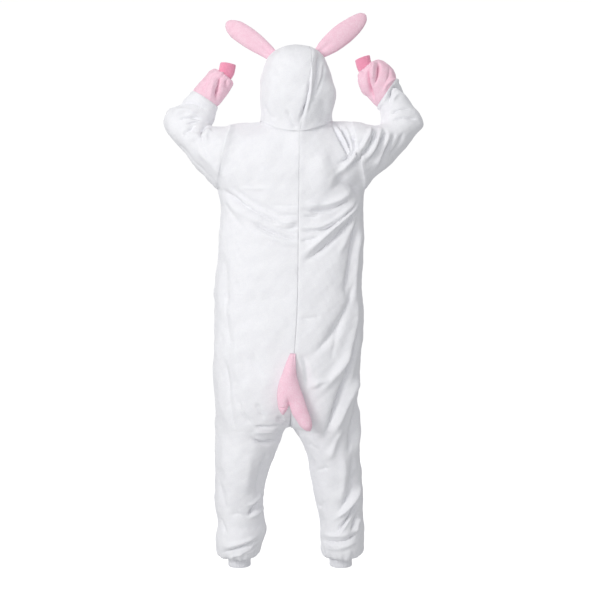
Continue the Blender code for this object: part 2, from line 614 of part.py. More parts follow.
def yoke(side, facing, armpit_row, sleeve):
    """The part of a body piece above the underarm: up to neck seam, shoulder seam and armhole."""
    columns = len(armpit_row) - 1
    neck = neck_arc(side, facing)[0]
    sign = 1 if facing == "back" else -1
    armhole = ring(sleeve, *armhole_turn(facing))[0]
    tip, root = armhole[-1], neck[-1]
    share = np.linspace(0, 1, columns - NECK_COLUMNS + 1)[1:, None]
    top = np.concatenate([neck, root + (tip - root) * share])
    heights = np.linspace(ARMPIT, neck[0, 2], YOKE_ROWS + 1)
    depth = smooth(heights, YOKE_PROFILE["height"], YOKE_PROFILE[facing])
    depth = depth + (abs(neck[0, 1]) - depth[-1]) * smoothstep((heights - ARMPIT) / (neck[0, 2] - ARMPIT))
    middle = np.stack([
        smooth(heights, MIDDLE_SEAM["height"], MIDDLE_SEAM[f"{facing}_x"]), -sign * depth, heights
    ], axis=-1)
    middle[-1] = neck[0]
    armhole[0] = armpit_row[-1]
    return coons(armpit_row, top, middle, armhole)


def body_heights():
    """Heights of the rows from the leg hem to the underarm, closer where the shape turns fast."""
    spans = [
        (LEG_HEM, -1.332, 3), (-1.332, -1.19, 6), (-1.19, -0.965, 6), (-0.965, -0.947, 2),
        (-0.947, CROTCH, 1), (CROTCH, -0.942, 1), (-0.942, -0.915, 2), (-0.915, -0.83, 2),
        (-0.83, -0.43, 8), (-0.43, ARMPIT, 7),
    ]
    heights = [np.linspace(low, high, count + 1)[:-1] for low, high, count in spans]
    return np.concatenate([*heights, [ARMPIT]])


def body_half(side, facing):
    """Grid and normals of one body piece: leg, seat and trunk in one, as it is cut."""
    side_table, sleeve = (RIGHT_HALF, RIGHT_SLEEVE) if side > 0 else (LEFT_HALF, LEFT_SLEEVE)
    heights = body_heights()
    lower = level_half(side_table, heights, facing, BODY_COLUMNS[facing])
    upper = yoke(side, facing, lower[-1], sleeve)
    points = relaxed(np.concatenate([lower, upper[1:]]), len(heights) - 4, 6)
    outwards = -1 if facing == "back" else 1
    core = points.mean(axis=1, keepdims=True) * (1, 0, 1)
    normals = grid_normals(points, core)
    above = len(heights)
    crotch = int(np.argmin(np.abs(heights - CROTCH)))
    leg = slice(0, crotch + 1)
    normals[leg, 0] = seam_normals(points[leg, 0], (-side, 0, 0))
    middle = points[crotch:, 0]
    run = unit(np.gradient(middle, axis=0))
    normals[crotch:, 0] = unit(np.stack([0 * run[:, 0], outwards * run[:, 2], -outwards * run[:, 1]], -1))
    normals[crotch, 0] = (0, 0, -1)
    normals[:above, -1] = seam_normals(points[:above, -1], (side, 0, 0))
    normals[-1, NECK_COLUMNS:] = seam_normals(points[-1, NECK_COLUMNS:], (0, 0, 1))
    normals[above:, -1] = ring_normals(sleeve, *armhole_turn(facing))[0, 1:]
    normals[-1, :NECK_COLUMNS + 1] = neck_arc(side, facing)[1]
    normals[0] = unit(normals[0] * (1, 1, 0))
    return points, normals


def make_body(white):
    """The four body pieces, by the side they face and the wearer's hand."""
    made = {}
    for side, hand in ((-1, "left"), (1, "right")):
        for facing in ("back", "front"):
            made[facing, hand] = panel(
                f"{facing}_{hand}", *body_half(side, facing), white,
                drawn_back=("first_row", "last_row", "first_column", "last_column"),
            )
    return made


def sleeve_grid(rings, count):
    """Rings of a tube, the first at the first row of its table."""
    turn = np.linspace(0, 2 * math.pi, 2 * YOKE_ROWS + 1)[None, :-1]
    at = np.linspace(0, len(rings["near_x"]) - 1, count + 1)
    points = ring(rings, at, turn)
    normals = grid_normals(points, points.mean(axis=1, keepdims=True), cyclic=True)
    normals[[0, -1]] = ring_normals(rings, at[[0, -1]], turn)
    return points, normals


def tube(name, points, normals, finish, thick=PLUSH, relief=None):
    """A cloth tube, drawn back at both ends."""
    shape = wall(points, normals, thick, True, ("first_row", "last_row"), relief)
    made = solid(name, *shape, finish)
    if made.data.polygons[0].normal.dot(Vector(normals[0, 0])) < 0:
        made.data.flip_normals()
    return made


def make_sleeves(white, pink):
    for hand, sleeve, end in (("left", LEFT_SLEEVE, LEFT_END), ("right", RIGHT_SLEEVE, RIGHT_END)):
        tube(f"sleeve_{hand}", *sleeve_grid(sleeve, 14), white)
        tube(f"sleeve_end_{hand}", *sleeve_grid(end, 8), pink)


def ribbed(points, ribs):
    """Raised knit ribs round a cuff: every other column of its outside stands out."""
    wave = np.where(np.arange(2 * ribs) % 2 == 0, RIB_HEIGHT, 0.0)
    return np.broadcast_to(wave, points.shape[:2]).copy()


def make_wrist_cuffs(hot_pink):
    turn = np.linspace(0, 2 * math.pi, 2 * RIBS_AT_WRIST + 1)[None, :-1]
    for hand, cuff in (("left", LEFT_CUFF), ("right", RIGHT_CUFF)):
        points = ring(cuff, np.linspace(0, 2, 4), turn)
        normals = unit(points - points.mean(axis=1, keepdims=True))
        relief = ribbed(points, RIBS_AT_WRIST)
        tube(f"wrist_cuff_{hand}", points, normals, hot_pink, RIB_CLOTH, relief)


def make_ankle_cuffs(white_rib):
    turn = np.linspace(0, 2 * math.pi, 2 * RIBS_AT_ANKLE + 1)[:-1]
    for hand, half in (("left", LEFT_HALF), ("right", RIGHT_HALF)):
        middle = (half["outer"][0] + half["inner"][0]) / 2
        rows = []
        for height, swell in zip(ANKLE_CUFF_HEIGHTS, ANKLE_CUFF_SWELL):
            x = middle + swell * ANKLE_CUFF_HALF[0] * np.cos(turn)
            y = swell * ANKLE_CUFF_HALF[1] * np.sin(turn)
            rows.append(np.stack([x, y, np.full_like(x, height)], axis=-1))
        points = np.array(rows)
        normals = unit(points - points.mean(axis=1, keepdims=True))
        relief = ribbed(points, RIBS_AT_ANKLE)
        tube(f"ankle_cuff_{hand}", points, normals, white_rib, RIB_CLOTH, relief)


def hood_radius(direction):
    """Distance from the hood's middle to its cloth in a direction."""
    x, y, z = direction[..., 0], direction[..., 1], direction[..., 2]
    depth = np.where(y < 0, HOOD_HALF["back"], HOOD_HALF["front"])
    height = np.where(z > 0, HOOD_HALF["up"], HOOD_HALF["down"])
    total = sum(
        np.abs(value / half) ** HOOD_FULLNESS
        for value, half in ((x, HOOD_HALF["x"]), (y, depth), (z, height))
    )
    return total ** (-1 / HOOD_FULLNESS)


def hood_depth(z):
    """How deep the hood is at a height, as a share of its rounded form."""
    return 1 - HOOD_NECKING * smoothstep((0.075 - z) / 0.095)


def hood_shaped(points, back=False):
    """Points of the rounded form moved to the hood's real depth, or back again."""
    depth = hood_depth(points[..., 2])
    points = points.copy()
    points[..., 1] = HOOD_MIDDLE[1] + (points[..., 1] - HOOD_MIDDLE[1]) * (1 / depth if back else depth)
    return points


def hood_seam(turn):
    """Points of the hood's middle seam, at degrees up from the back of the head."""
    x = smooth(turn, HOOD_SEAM["turn"], HOOD_SEAM["x"])
    y, z = -np.cos(np.radians(turn)), np.sin(np.radians(turn))
    flat = np.stack([0 * y, y, z], axis=-1)
    aside = np.abs((x - HOOD_MIDDLE[0]) / HOOD_HALF["x"]) ** HOOD_FULLNESS
    reach = hood_radius(flat) * (1 - aside) ** (1 / HOOD_FULLNESS)
    return hood_shaped(np.stack([x, HOOD_MIDDLE[1] + reach * y, HOOD_MIDDLE[2] + reach * z], axis=-1))


def face_edge(side, count, chin, brow):
    """The free edge of the hood round the face, from chin to brow."""
    turn = np.linspace(-math.pi / 2, math.pi / 2, count + 1)
    x = FACE_MIDDLE[0] + side * FACE_HALF[0] * np.cos(turn) ** 0.85
    z = FACE_MIDDLE[1] + FACE_HALF[1] * np.sin(turn)
    height = np.where(z > HOOD_MIDDLE[2], HOOD_HALF["up"], HOOD_HALF["down"])
    left = 1 - np.abs((x - HOOD_MIDDLE[0]) / HOOD_HALF["x"]) ** HOOD_FULLNESS
    left = left - np.abs((z - HOOD_MIDDLE[2]) / height) ** HOOD_FULLNESS
    y = HOOD_MIDDLE[1] + HOOD_HALF["front"] * left ** (1 / HOOD_FULLNESS)
    edge = hood_shaped(np.stack([x, y, z], axis=-1))
    share = np.linspace(0, 1, count + 1)[:, None]
    near_chin, near_brow = smoothstep(1 - share / 0.4), smoothstep(1 - (1 - share) / 0.4)
    return edge + (chin - edge[0]) * near_chin + (brow - edge[-1]) * near_brow


def hood_half(side):
    """Grid and normals of one hood piece, from the neck seam up to the middle seam and the face."""
    middle = np.array(HOOD_MIDDLE)
    back, front = neck_arc(side, "back"), neck_arc(side, "front")
    bottom, bottom_normals = (np.concatenate([b, f[-2::-1]]) for b, f in zip(back, front))
    columns = len(bottom) - 1
    nape, crown, brow = HOOD_SEAM["turn"][0], 32.0, HOOD_SEAM["turn"][-1]
    first = hood_seam(np.linspace(nape, crown, HOOD_ROWS + 1))
    top = hood_seam(np.linspace(crown, brow, columns + 1))
    first[0] = bottom[0]
    edges = [bottom, top, first, face_edge(side, HOOD_ROWS, bottom[-1], top[-1])]
    edges = [hood_shaped(edge, back=True) for edge in edges]
    fits = [
        np.linalg.norm(edge - middle, axis=-1, keepdims=True) / hood_radius(unit(edge - middle))[:, None]
        for edge in edges
    ]
    direction = unit(coons(*(unit(edge - middle) for edge in edges)))
    points = hood_shaped(middle + direction * hood_radius(direction)[..., None] * coons(*fits))
    normals = grid_normals(points, middle)
    normals[:, 0] = seam_normals(points[:, 0], unit(points[:, 0] - middle) * (0, 1, 1))
    normals[-1] = seam_normals(points[-1], unit(points[-1] - middle) * (0, 1, 1))
    normals[0] = bottom_normals
    return points, normals


def make_hood(white):
    """Two hood pieces, sewn together over the head and to the neck seam."""
    return [
        panel(f"hood_{hand}", *hood_half(side), white, drawn_back=("first_row", "last_row", "first_column"))
        for side, hand in ((-1, "left"), (1, "right"))
    ]


def padded_half(name, flat, rise, outwards, quads, finish):
    """Half of a stuffed piece: flat at its seam, domed by the rise on the side it faces."""
    low = flat + outwards * SEAM_GAP / 2
    vertices = np.concatenate([low + outwards * (PLUSH / 2 + rise)[:, None], low])
    shift = len(flat)
    if np.cross(*(flat[quads[0][k]] - flat[quads[0][0]] for k in (1, 2))) @ outwards < 0:
        quads = [quad[::-1] for quad in quads]
    faces, edges = [], {}
    for quad in quads:
        for triangle in (quad[:3], [quad[0], quad[2], quad[3]]):
            if len(set(triangle)) == 3:
                faces += [list(triangle), [shift + k for k in triangle[::-1]]]
        for a, b in zip(quad, quad[1:] + quad[:1]):
            if a != b:
                edges[a, b] = (b, a)
    for (a, b), back in edges.items():
        if back not in edges:
            faces += [[b, a, shift + a], [b, shift + a, shift + b]]
    return solid(name, vertices, faces, finish)


def lobe(outline, rows, columns):
    """Points across a stuffed outline in the X-Z plane, row by row, and how full each point is."""
    known = np.arange(len(outline["x"]), dtype=float)
    at = np.linspace(0, known[-1], rows + 1)
    x, z, half = (smooth(at, known, outline[name]) for name in ("x", "z", "half_width"))
    run = unit(np.stack([np.gradient(x), np.gradient(z)], -1))
    share = np.sin(np.linspace(-math.pi / 2, math.pi / 2, columns + 1))
    points = np.zeros((rows + 1, columns + 1, 3))
    points[..., 0] = x[:, None] + run[:, 1:] * half[:, None] * share
    points[..., 2] = z[:, None] - run[:, :1] * half[:, None] * share
    return points, np.sqrt(np.maximum(1 - share**2, 0)) * (half / half.max())[:, None]


def grid_quads(rows, columns, first=0):
    """Quads of a grid of points, as lists of indices."""
    across_row = columns + 1
    return [
        [first + r * across_row + c + k for k in (0, 1, across_row + 1, across_row)]
        for r in range(rows) for c in range(columns)
    ]


def tree_of(made):
    """A search tree over the faces of a made piece."""
    mesh = made.data
    return BVHTree.FromPolygons([v.co for v in mesh.vertices], [list(p.vertices) for p in mesh.polygons])


def make_ears(hoods, pink):
    """Two stuffed ears, each sewn from a back and a front half, standing on the hood."""
    rows, columns = 9, 6
    trees = [tree_of(made) for made in hoods]
    middle = np.array(HOOD_MIDDLE)
    for hand, outline in (("left", LEFT_EAR), ("right", RIGHT_EAR)):
        points, full = lobe(outline, rows, columns)
        lean = smoothstep(np.linspace(0, 1, rows + 1))[:, None]
        points[..., 1] = EAR_DEPTH[0] + (EAR_DEPTH[1] - EAR_DEPTH[0]) * lean
        flat, rise = points.reshape(-1, 3), EAR_HALF_THICK * full.ravel()
        for facing, sign in (("back", -1), ("front", 1)):
            outwards = np.array([0.0, sign, 0.0])
            made = padded_half(
                f"ear_{hand}_{facing}", flat, rise, outwards, grid_quads(rows, columns), pink
            )
            for k in range(columns + 1):
                for index in (k, len(flat) + k):
                    vertex = made.data.vertices[index]
                    away = Vector(unit(np.array(vertex.co) - middle))
                    hits = [tree.ray_cast(Vector(middle) + away, -away)[3] for tree in trees]
                    reach = 1 - min(distance for distance in hits if distance is not None)
                    vertex.co = Vector(middle) + away * (reach + EAR_SEAT)


def surface_y(trees, x, z, side):
    """Y of the outermost cloth at a point of the X-Z plane, from behind (-1) or from the front (1)."""
    hits = []
    for nudge in (-0.003, 0.0, 0.003):
        for tree in trees:
            place = tree.ray_cast(Vector((x + nudge, side * 1.0, z)), Vector((0, -side, 0)))[0]
            if place is not None:
                hits.append(place.y)
    return (max(hits) if side > 0 else min(hits)) if hits else math.nan


def make_tail(backs, pink):
    """The stuffed tail, in two halves. It hangs from the middle seam and parts into two points."""
    root_rows, root_cells, notch_cell = 9, 8, 3
    trees = [tree_of(made) for made in backs]

    def block(outline, rows, cells):
        heights = np.linspace(outline["height"][-1], outline["height"][0], rows + 1)
        left, right = (smooth(heights, outline["height"], outline[edge]) for edge in ("left", "right"))
        if outline is TAIL_ROOT:
            parting = (TAIL_NOTCH_X - left[-1]) / (right[-1] - left[-1])
            share = np.concatenate([
                np.linspace(0, parting, notch_cell + 1),
                np.linspace(parting, 1, root_cells - notch_cell + 1)[1:],
            ])
            whole = 1 - (2 * share - 1) ** 2
            parted = np.where(
                share < parting, 1 - (2 * share / parting - 1) ** 2,
                1 - (2 * (share - parting) / (1 - parting) - 1) ** 2,
            ) * TAIL_POINT_FULLNESS
            low = change(np.linspace(0, 1, rows + 1), (TAIL_PARTS_FROM, 1 - TAIL_PARTS_FROM))[:, None]
            full = (1 - low) * whole + low * parted
        else:
            share = np.linspace(0, 1, cells + 1)
            full = TAIL_POINT_FULLNESS * (1 - (2 * share - 1) ** 2)
            full = np.broadcast_to(full, (rows + 1, cells + 1))
        x = left[:, None] + (right - left)[:, None] * share
        return x, np.broadcast_to(heights[:, None], x.shape), full * (0.25 + 0.75 * smoothstep(
            (right - left) / 0.035))[:, None]

    short = block(TAIL_SHORT_POINT, 4, notch_cell)
    long = block(TAIL_LONG_POINT, 7, root_cells - notch_cell)
    blocks = [block(TAIL_ROOT, root_rows, root_cells), [a[1:] for a in short], [a[1:] for a in long]]
    x, z, full = (np.concatenate([part[k].ravel() for part in blocks]) for k in range(3))
    seat_heights = np.linspace(TAIL_ROOT["height"][-1], TAIL_LONG_POINT["height"][0], 40)
    seat = []
    for height in seat_heights:
        near = np.abs(z - height) < 0.012
        seat.append(np.nanmin([surface_y(trees, at_x, height, -1) for at_x in x[near]]))
    seat = np.minimum.accumulate(seat)
    thick = TAIL_HALF_THICK * (0.2 + 0.8 * smoothstep((seat_heights[0] - seat_heights) / 0.06))
    y = np.interp(-z, -seat_heights, seat - TAIL_STAND_OFF - thick)
    rise = full * np.interp(-z, -seat_heights, thick - PLUSH / 2)
    flat = np.stack([x, y, z], axis=-1)

    quads = grid_quads(root_rows, root_cells)
    notch_row = root_rows * (root_cells + 1)
    first = notch_row + root_cells + 1
    for start, cells, rows in ((0, notch_cell, 4), (notch_cell, root_cells - notch_cell, 7)):
        for k in range(cells):
            quads.append([
                notch_row + start + k, notch_row + start + k + 1, first + k + 1, first + k
            ])
        quads += grid_quads(rows - 1, cells, first)
        first += rows * (cells + 1)
    for name, outwards in (("tail_outer", (0.0, -1.0, 0.0)), ("tail_under", (0.0, 1.0, 0.0))):
        padded_half(name, flat, rise, np.array(outwards), quads, pink)


def make_placket(fronts, white):
    """The button placket over the middle of the front, made from the front's own surface."""
    trees = [tree_of(made) for made in fronts]
    shares = np.array([-1.0, 0.0, 1.0])
    top = neck_arc(1, "front")[0][0, 2] - 0.006
    rows = body_half(1, "front")[0][:, 0, 2]
    rows = [PLACKET_BOTTOM, *rows[(rows > PLACKET_BOTTOM + 0.01) & (rows < top - 0.004)], top]
    heights = np.interp(np.arange(0, len(rows) - 0.5, 0.5), np.arange(len(rows)), rows)
    points = np.zeros((len(heights), len(shares), 3))
    for row, height in enumerate(heights):
        seam = smooth(np.array([height]), MIDDLE_SEAM["height"], MIDDLE_SEAM["front_x"])[0]
        for column, share in enumerate(shares):
            x = seam + share * PLACKET_HALF
            points[row, column] = (x, surface_y(trees, x, height, 1) + PLACKET_OFF + PLACKET_THICK, height)
    normals = grid_normals(points, np.array([0.0, 0.0, -0.4]))
    return panel("placket", points, normals, white, thick=PLACKET_THICK)


def make_buttons(placket, finish):
    """Flat round buttons with a slightly domed face, seated on the placket."""
    tree = tree_of(placket)
    turn = np.linspace(0, 2 * math.pi, 17)[:-1]
    for number, height in enumerate(BUTTON_HEIGHTS, 1):
        x = smooth(np.array([height]), MIDDLE_SEAM["height"], MIDDLE_SEAM["front_x"])[0]
        rim = [(x + BUTTON_RADIUS * math.cos(a), height + BUTTON_RADIUS * math.sin(a)) for a in turn]
        seat = max(surface_y([tree], px, pz, 1) for px, pz in [*rim, (x, height)]) + SEAM_GAP
        vertices, faces = [], []
        for radius, rise in ((0.93, 0.0), (1.0, 0.3), (1.0, 0.75), (0.86, 1.0)):
            vertices += [
                (x + BUTTON_RADIUS * radius * math.cos(a), seat + BUTTON_THICK * rise,
                 height + BUTTON_RADIUS * radius * math.sin(a)) for a in turn
            ]
        count = len(turn)
        for level in range(3):
            for k in range(count):
                n = (k + 1) % count
                faces.append([
                    level * count + k, level * count + n, (level + 1) * count + n, (level + 1) * count + k
                ])
        faces.append(list(range(count))[::-1])
        faces.append([3 * count + k for k in range(count)])
        solid(f"button_{number}", vertices, [face[::-1] for face in faces], finish)


def main():
    for old in list(bpy.data.objects):
        bpy.data.objects.remove(old)
    white, pink = material("white plush"), material("pale pink plush")
    made = make_body(white)
    make_sleeves(white, pink)
    make_wrist_cuffs(material("pink rib knit"))
    make_ankle_cuffs(material("white rib knit"))
    hoods = make_hood(white)
    make_ears(hoods, pink)
    make_tail([made["back", "left"], made["back", "right"]], pink)
    placket = make_placket([made["front", "left"], made["front", "right"]], white)
    make_buttons(placket, material("white button"))


main()
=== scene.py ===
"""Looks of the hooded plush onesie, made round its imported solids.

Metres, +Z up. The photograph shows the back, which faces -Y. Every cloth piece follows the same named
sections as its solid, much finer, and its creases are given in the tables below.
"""

import math

import bmesh
import bpy
import numpy as np
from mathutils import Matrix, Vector
from mathutils.bvhtree import BVHTree


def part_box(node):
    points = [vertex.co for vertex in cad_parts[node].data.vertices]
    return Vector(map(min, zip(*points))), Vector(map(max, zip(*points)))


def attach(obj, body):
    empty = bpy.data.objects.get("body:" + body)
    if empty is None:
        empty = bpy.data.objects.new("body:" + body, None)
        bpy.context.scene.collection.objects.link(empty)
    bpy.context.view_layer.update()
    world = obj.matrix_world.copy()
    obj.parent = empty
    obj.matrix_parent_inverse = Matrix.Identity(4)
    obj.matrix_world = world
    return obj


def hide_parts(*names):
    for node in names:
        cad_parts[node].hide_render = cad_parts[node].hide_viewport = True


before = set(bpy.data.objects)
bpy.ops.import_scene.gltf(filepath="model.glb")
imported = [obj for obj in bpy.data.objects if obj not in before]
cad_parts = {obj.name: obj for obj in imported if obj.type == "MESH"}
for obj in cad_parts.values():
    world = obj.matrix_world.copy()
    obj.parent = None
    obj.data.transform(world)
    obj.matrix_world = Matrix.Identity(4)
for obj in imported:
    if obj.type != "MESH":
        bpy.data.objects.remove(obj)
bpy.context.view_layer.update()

# Driving dimensions, as in the solids
PLUSH = 0.003  # thickness of the white and the pale pink plush
RIB_CLOTH = 0.0022  # thickness of the knitted cuffs
ARMPIT = -0.203
CROTCH = -0.945
LEG_HEM = -1.360
FLOOR = -1.430  # height of the floor

# Cells of the guiding grids, and how many cells of fine cloth each gets
BODY_COLUMNS = {"back": 18, "front": 16}
YOKE_ROWS = 18
NECK_COLUMNS = 8
HOOD_ROWS = 20
FINE = 4
SEAM_DEPTH = 0.0005  # how far a sewn seam sinks into the plush
SEAM_HALF = 0.0024
FORK_CROWDS = (-0.785, 0.045)  # height and reach of the places where the body's grid is evened
CHEST_STEP = (-0.320, 0.050)
FORK_COLUMNS = (11, 8)  # how many fine columns beside the fork's seam are evened, then over how many it fades
FORK_ROUNDS, CHEST_ROUNDS = 24, 200
YOKE_EASING = (13, 40)  # how many rows below the underarm the easing starts, and its rounds
BODY_SPANS = (  # height from, height to and cells of each stretch of rows up to the underarm
    (LEG_HEM, -1.332, 5), (-1.332, -0.975, 36), (-0.975, -0.951, 4), (-0.951, CROTCH, 2),
    (CROTCH, -0.939, 2), (-0.939, -0.915, 4), (-0.915, ARMPIT, 72),
)
RIBS_AT_WRIST = 40
RIBS_AT_ANKLE = 44


def table(names, rows):
    """Columns of a table by name, as arrays."""
    return dict(zip(names.split(), np.array(rows, float).T))


# Half of the body and its leg, as level sections. outer is the side seam, inner the inside leg seam
# below the crotch, back and front the depth of the section, and share says how much of that depth
# the middle seam has: 1 on the trunk, 0 at the crotch, where the two legs part.
SECTION = "height outer inner back front share"
LEFT_HALF = table(SECTION, [
    (-1.360, -0.1965, -0.1215, 0.043, 0.043, 0.00),
    (-1.356, -0.2120, -0.1110, 0.058, 0.056, 0.00),
    (-1.348, -0.2270, -0.0990, 0.073, 0.070, 0.00),
    (-1.332, -0.2315, -0.0920, 0.081, 0.078, 0.00),
    (-1.307, -0.2330, -0.0820, 0.087, 0.083, 0.00),
    (-1.276, -0.2300, -0.0755, 0.088, 0.084, 0.00),
    (-1.244, -0.2270, -0.0820, 0.084, 0.082, 0.00),
    (-1.200, -0.2350, -0.0885, 0.086, 0.082, 0.00),
    (-1.150, -0.2360, -0.0830, 0.094, 0.087, 0.00),
    (-1.087, -0.2360, -0.0660, 0.104, 0.095, 0.00),
    (-1.055, -0.2360, -0.0530, 0.109, 0.100, 0.00),
    (-1.000, -0.2340, -0.0340, 0.120, 0.108, 0.00),
    (-0.965, -0.2335, -0.0225, 0.127, 0.112, 0.00),
    (-0.952, -0.2330, -0.0135, 0.130, 0.114, 0.00),
    (-0.947, -0.2330, -0.0065, 0.131, 0.115, 0.00),
    (-0.945, -0.2330, 0.0000, 0.132, 0.116, 0.00),
    (-0.942, -0.2330, 0.0000, 0.133, 0.117, 0.24),
    (-0.934, -0.2330, 0.0000, 0.136, 0.119, 0.47),
    (-0.915, -0.2335, 0.0000, 0.142, 0.124, 0.74),
    (-0.880, -0.2345, 0.0000, 0.152, 0.131, 0.93),
    (-0.830, -0.2380, 0.0000, 0.161, 0.137, 1.00),
    (-0.772, -0.2420, 0.0000, 0.166, 0.141, 1.00),
    (-0.677, -0.2395, 0.0000, 0.164, 0.145, 1.00),
    (-0.551, -0.2380, 0.0000, 0.154, 0.148, 1.00),
    (-0.394, -0.2237, 0.0000, 0.143, 0.148, 1.00),
    (-0.300, -0.2205, 0.0000, 0.138, 0.145, 1.00),
    (-0.236, -0.2215, 0.0000, 0.134, 0.140, 1.00),
    (-0.203, -0.2290, 0.0000, 0.132, 0.136, 1.00),
])
RIGHT_HALF = table(SECTION, [
    (-1.360, 0.1965, 0.1230, 0.043, 0.043, 0.00),
    (-1.356, 0.2110, 0.1120, 0.058, 0.056, 0.00),
    (-1.348, 0.2240, 0.1010, 0.072, 0.069, 0.00),
    (-1.332, 0.2310, 0.0965, 0.080, 0.077, 0.00),
    (-1.307, 0.2330, 0.0975, 0.084, 0.081, 0.00),
    (-1.276, 0.2330, 0.0975, 0.085, 0.081, 0.00),
    (-1.244, 0.2300, 0.0945, 0.083, 0.080, 0.00),
    (-1.200, 0.2255, 0.0840, 0.085, 0.081, 0.00),
    (-1.150, 0.2255, 0.0745, 0.093, 0.086, 0.00),
    (-1.087, 0.2240, 0.0630, 0.103, 0.094, 0.00),
    (-1.055, 0.2205, 0.0570, 0.108, 0.099, 0.00),
    (-1.000, 0.2180, 0.0380, 0.119, 0.107, 0.00),
    (-0.965, 0.2175, 0.0200, 0.126, 0.111, 0.00),
    (-0.952, 0.2170, 0.0125, 0.129, 0.113, 0.00),
    (-0.947, 0.2170, 0.0060, 0.131, 0.115, 0.00),
    (-0.945, 0.2170, 0.0000, 0.132, 0.116, 0.00),
    (-0.942, 0.2170, 0.0000, 0.133, 0.117, 0.24),
    (-0.934, 0.2165, 0.0000, 0.136, 0.119, 0.47),
    (-0.915, 0.2150, 0.0000, 0.142, 0.124, 0.74),
    (-0.880, 0.2145, 0.0000, 0.152, 0.131, 0.93),
    (-0.830, 0.2175, 0.0000, 0.161, 0.137, 1.00),
    (-0.772, 0.2205, 0.0000, 0.166, 0.141, 1.00),
    (-0.677, 0.2270, 0.0000, 0.164, 0.145, 1.00),
    (-0.551, 0.2300, 0.0000, 0.154, 0.148, 1.00),
    (-0.394, 0.2300, 0.0000, 0.143, 0.148, 1.00),
    (-0.300, 0.2330, 0.0000, 0.138, 0.145, 1.00),
    (-0.236, 0.2335, 0.0000, 0.134, 0.140, 1.00),
    (-0.203, 0.2370, 0.0000, 0.132, 0.136, 1.00),
])
# The middle seams of back and front: the body is turned a little, so they lie off the middle.
MIDDLE_SEAM = table("height back_x front_x", [
    (-0.945, 0.0000, 0.0000),
    (-0.830, 0.0080, -0.0060),
    (-0.720, 0.0140, -0.0130),
    (-0.550, 0.0240, -0.0200),
    (-0.300, 0.0270, -0.0200),
    (-0.120, 0.0290, -0.0060),
    (0.020, 0.0300, 0.0060),
])
# The middle seams above the underarm, as depth behind and in front of the side seams.
YOKE_PROFILE = table("height back front", [
    (-0.203, 0.132, 0.136),
    (-0.150, 0.131, 0.133),
    (-0.100, 0.126, 0.123),
    (-0.060, 0.118, 0.112),
    (-0.020, 0.103, 0.102),
])
# How a leg's sections turn into the trunk's: the height where each change starts, and its rise.
LEGS_JOIN = (-1.05, 0.09)  # the deepest place moves from over the leg to over the seat,
SEAT_JOINS = (-0.95, 0.22)  # where it lies this share of the way out, and then to the middle seam
SEAT_SHARE = 0.46
TRUNK_SQUARES = (-0.95, 0.15)  # the sections grow this much squarer than an ellipse
TRUNK_SQUARER = 0.35
COLUMNS_GATHER = (-1.00, 0.28)  # the columns gather between the deepest place and the side seam

NECK_MIDDLE = (0.019, -0.005)
NECK_HALF = (0.110, 0.098)
NECK_HEIGHT = {"side": 0.012, "back": -0.020, "front": -0.046}

# The sleeves, as sections in planes that stand on the X-Z plane. near is the edge on the hood's
# side, far the edge on the elbow's side, half_depth and depth the section's half width and middle in Y.
RING = "near_x near_z far_x far_z depth half_depth"
LEFT_SLEEVE = table(RING, [
    (-0.1830, 0.0010, -0.2290, -0.2030, 0.000, 0.098),
    (-0.2080, -0.0060, -0.2720, -0.1590, 0.004, 0.090),
    (-0.2300, -0.0050, -0.3120, -0.1130, 0.012, 0.080),
    (-0.2470, -0.0010, -0.3580, -0.0610, 0.024, 0.071),
    (-0.2500, 0.0020, -0.3935, -0.0190, 0.034, 0.066),
    (-0.2480, 0.0070, -0.4005, 0.0130, 0.040, 0.064),
    (-0.2410, 0.0210, -0.3860, 0.0460, 0.043, 0.062),
    (-0.2360, 0.0440, -0.3530, 0.0720, 0.044, 0.057),
    (-0.2330, 0.0645, -0.3090, 0.1130, 0.044, 0.052),
])
RIGHT_SLEEVE = table(RING, [
    (0.1930, 0.0100, 0.2370, -0.2030, 0.000, 0.098),
    (0.2200, 0.0090, 0.2710, -0.1590, 0.004, 0.090),
    (0.2450, 0.0040, 0.3150, -0.1230, 0.012, 0.080),
    (0.2680, 0.0000, 0.3590, -0.0770, 0.024, 0.071),
    (0.2850, 0.0030, 0.3970, -0.0300, 0.034, 0.066),
    (0.2880, 0.0160, 0.4240, 0.0030, 0.040, 0.064),
    (0.2880, 0.0350, 0.4140, 0.0350, 0.043, 0.061),
    (0.2860, 0.0500, 0.3860, 0.0700, 0.044, 0.057),
    (0.2820, 0.0600, 0.3620, 0.1160, 0.044, 0.055),
    (0.2770, 0.0645, 0.3400, 0.1550, 0.044, 0.053),
])
# The pale pink sleeve ends, from the white sleeve to the gathered seam of the knitted cuff.
LEFT_END = table(RING, [
    (-0.2330, 0.0645, -0.3090, 0.1130, 0.044, 0.052),
    (-0.2100, 0.0910, -0.2895, 0.1370, 0.044, 0.050),
    (-0.1890, 0.1160, -0.2670, 0.1600, 0.044, 0.047),
    (-0.1795, 0.1360, -0.2510, 0.1770, 0.044, 0.042),
    (-0.1835, 0.1450, -0.2410, 0.1820, 0.044, 0.034),
    (-0.1870, 0.1500, -0.2270, 0.1770, 0.044, 0.026),
])
RIGHT_END = table(RING, [
    (0.2770, 0.0645, 0.3400, 0.1550, 0.044, 0.053),
    (0.2520, 0.0900, 0.3310, 0.1740, 0.044, 0.054),
    (0.2300, 0.1160, 0.3165, 0.1940, 0.044, 0.053),
    (0.2215, 0.1450, 0.2990, 0.2080, 0.044, 0.047),
    (0.2190, 0.1640, 0.2800, 0.2140, 0.044, 0.036),
    (0.2230, 0.1700, 0.2590, 0.2030, 0.044, 0.026),
])
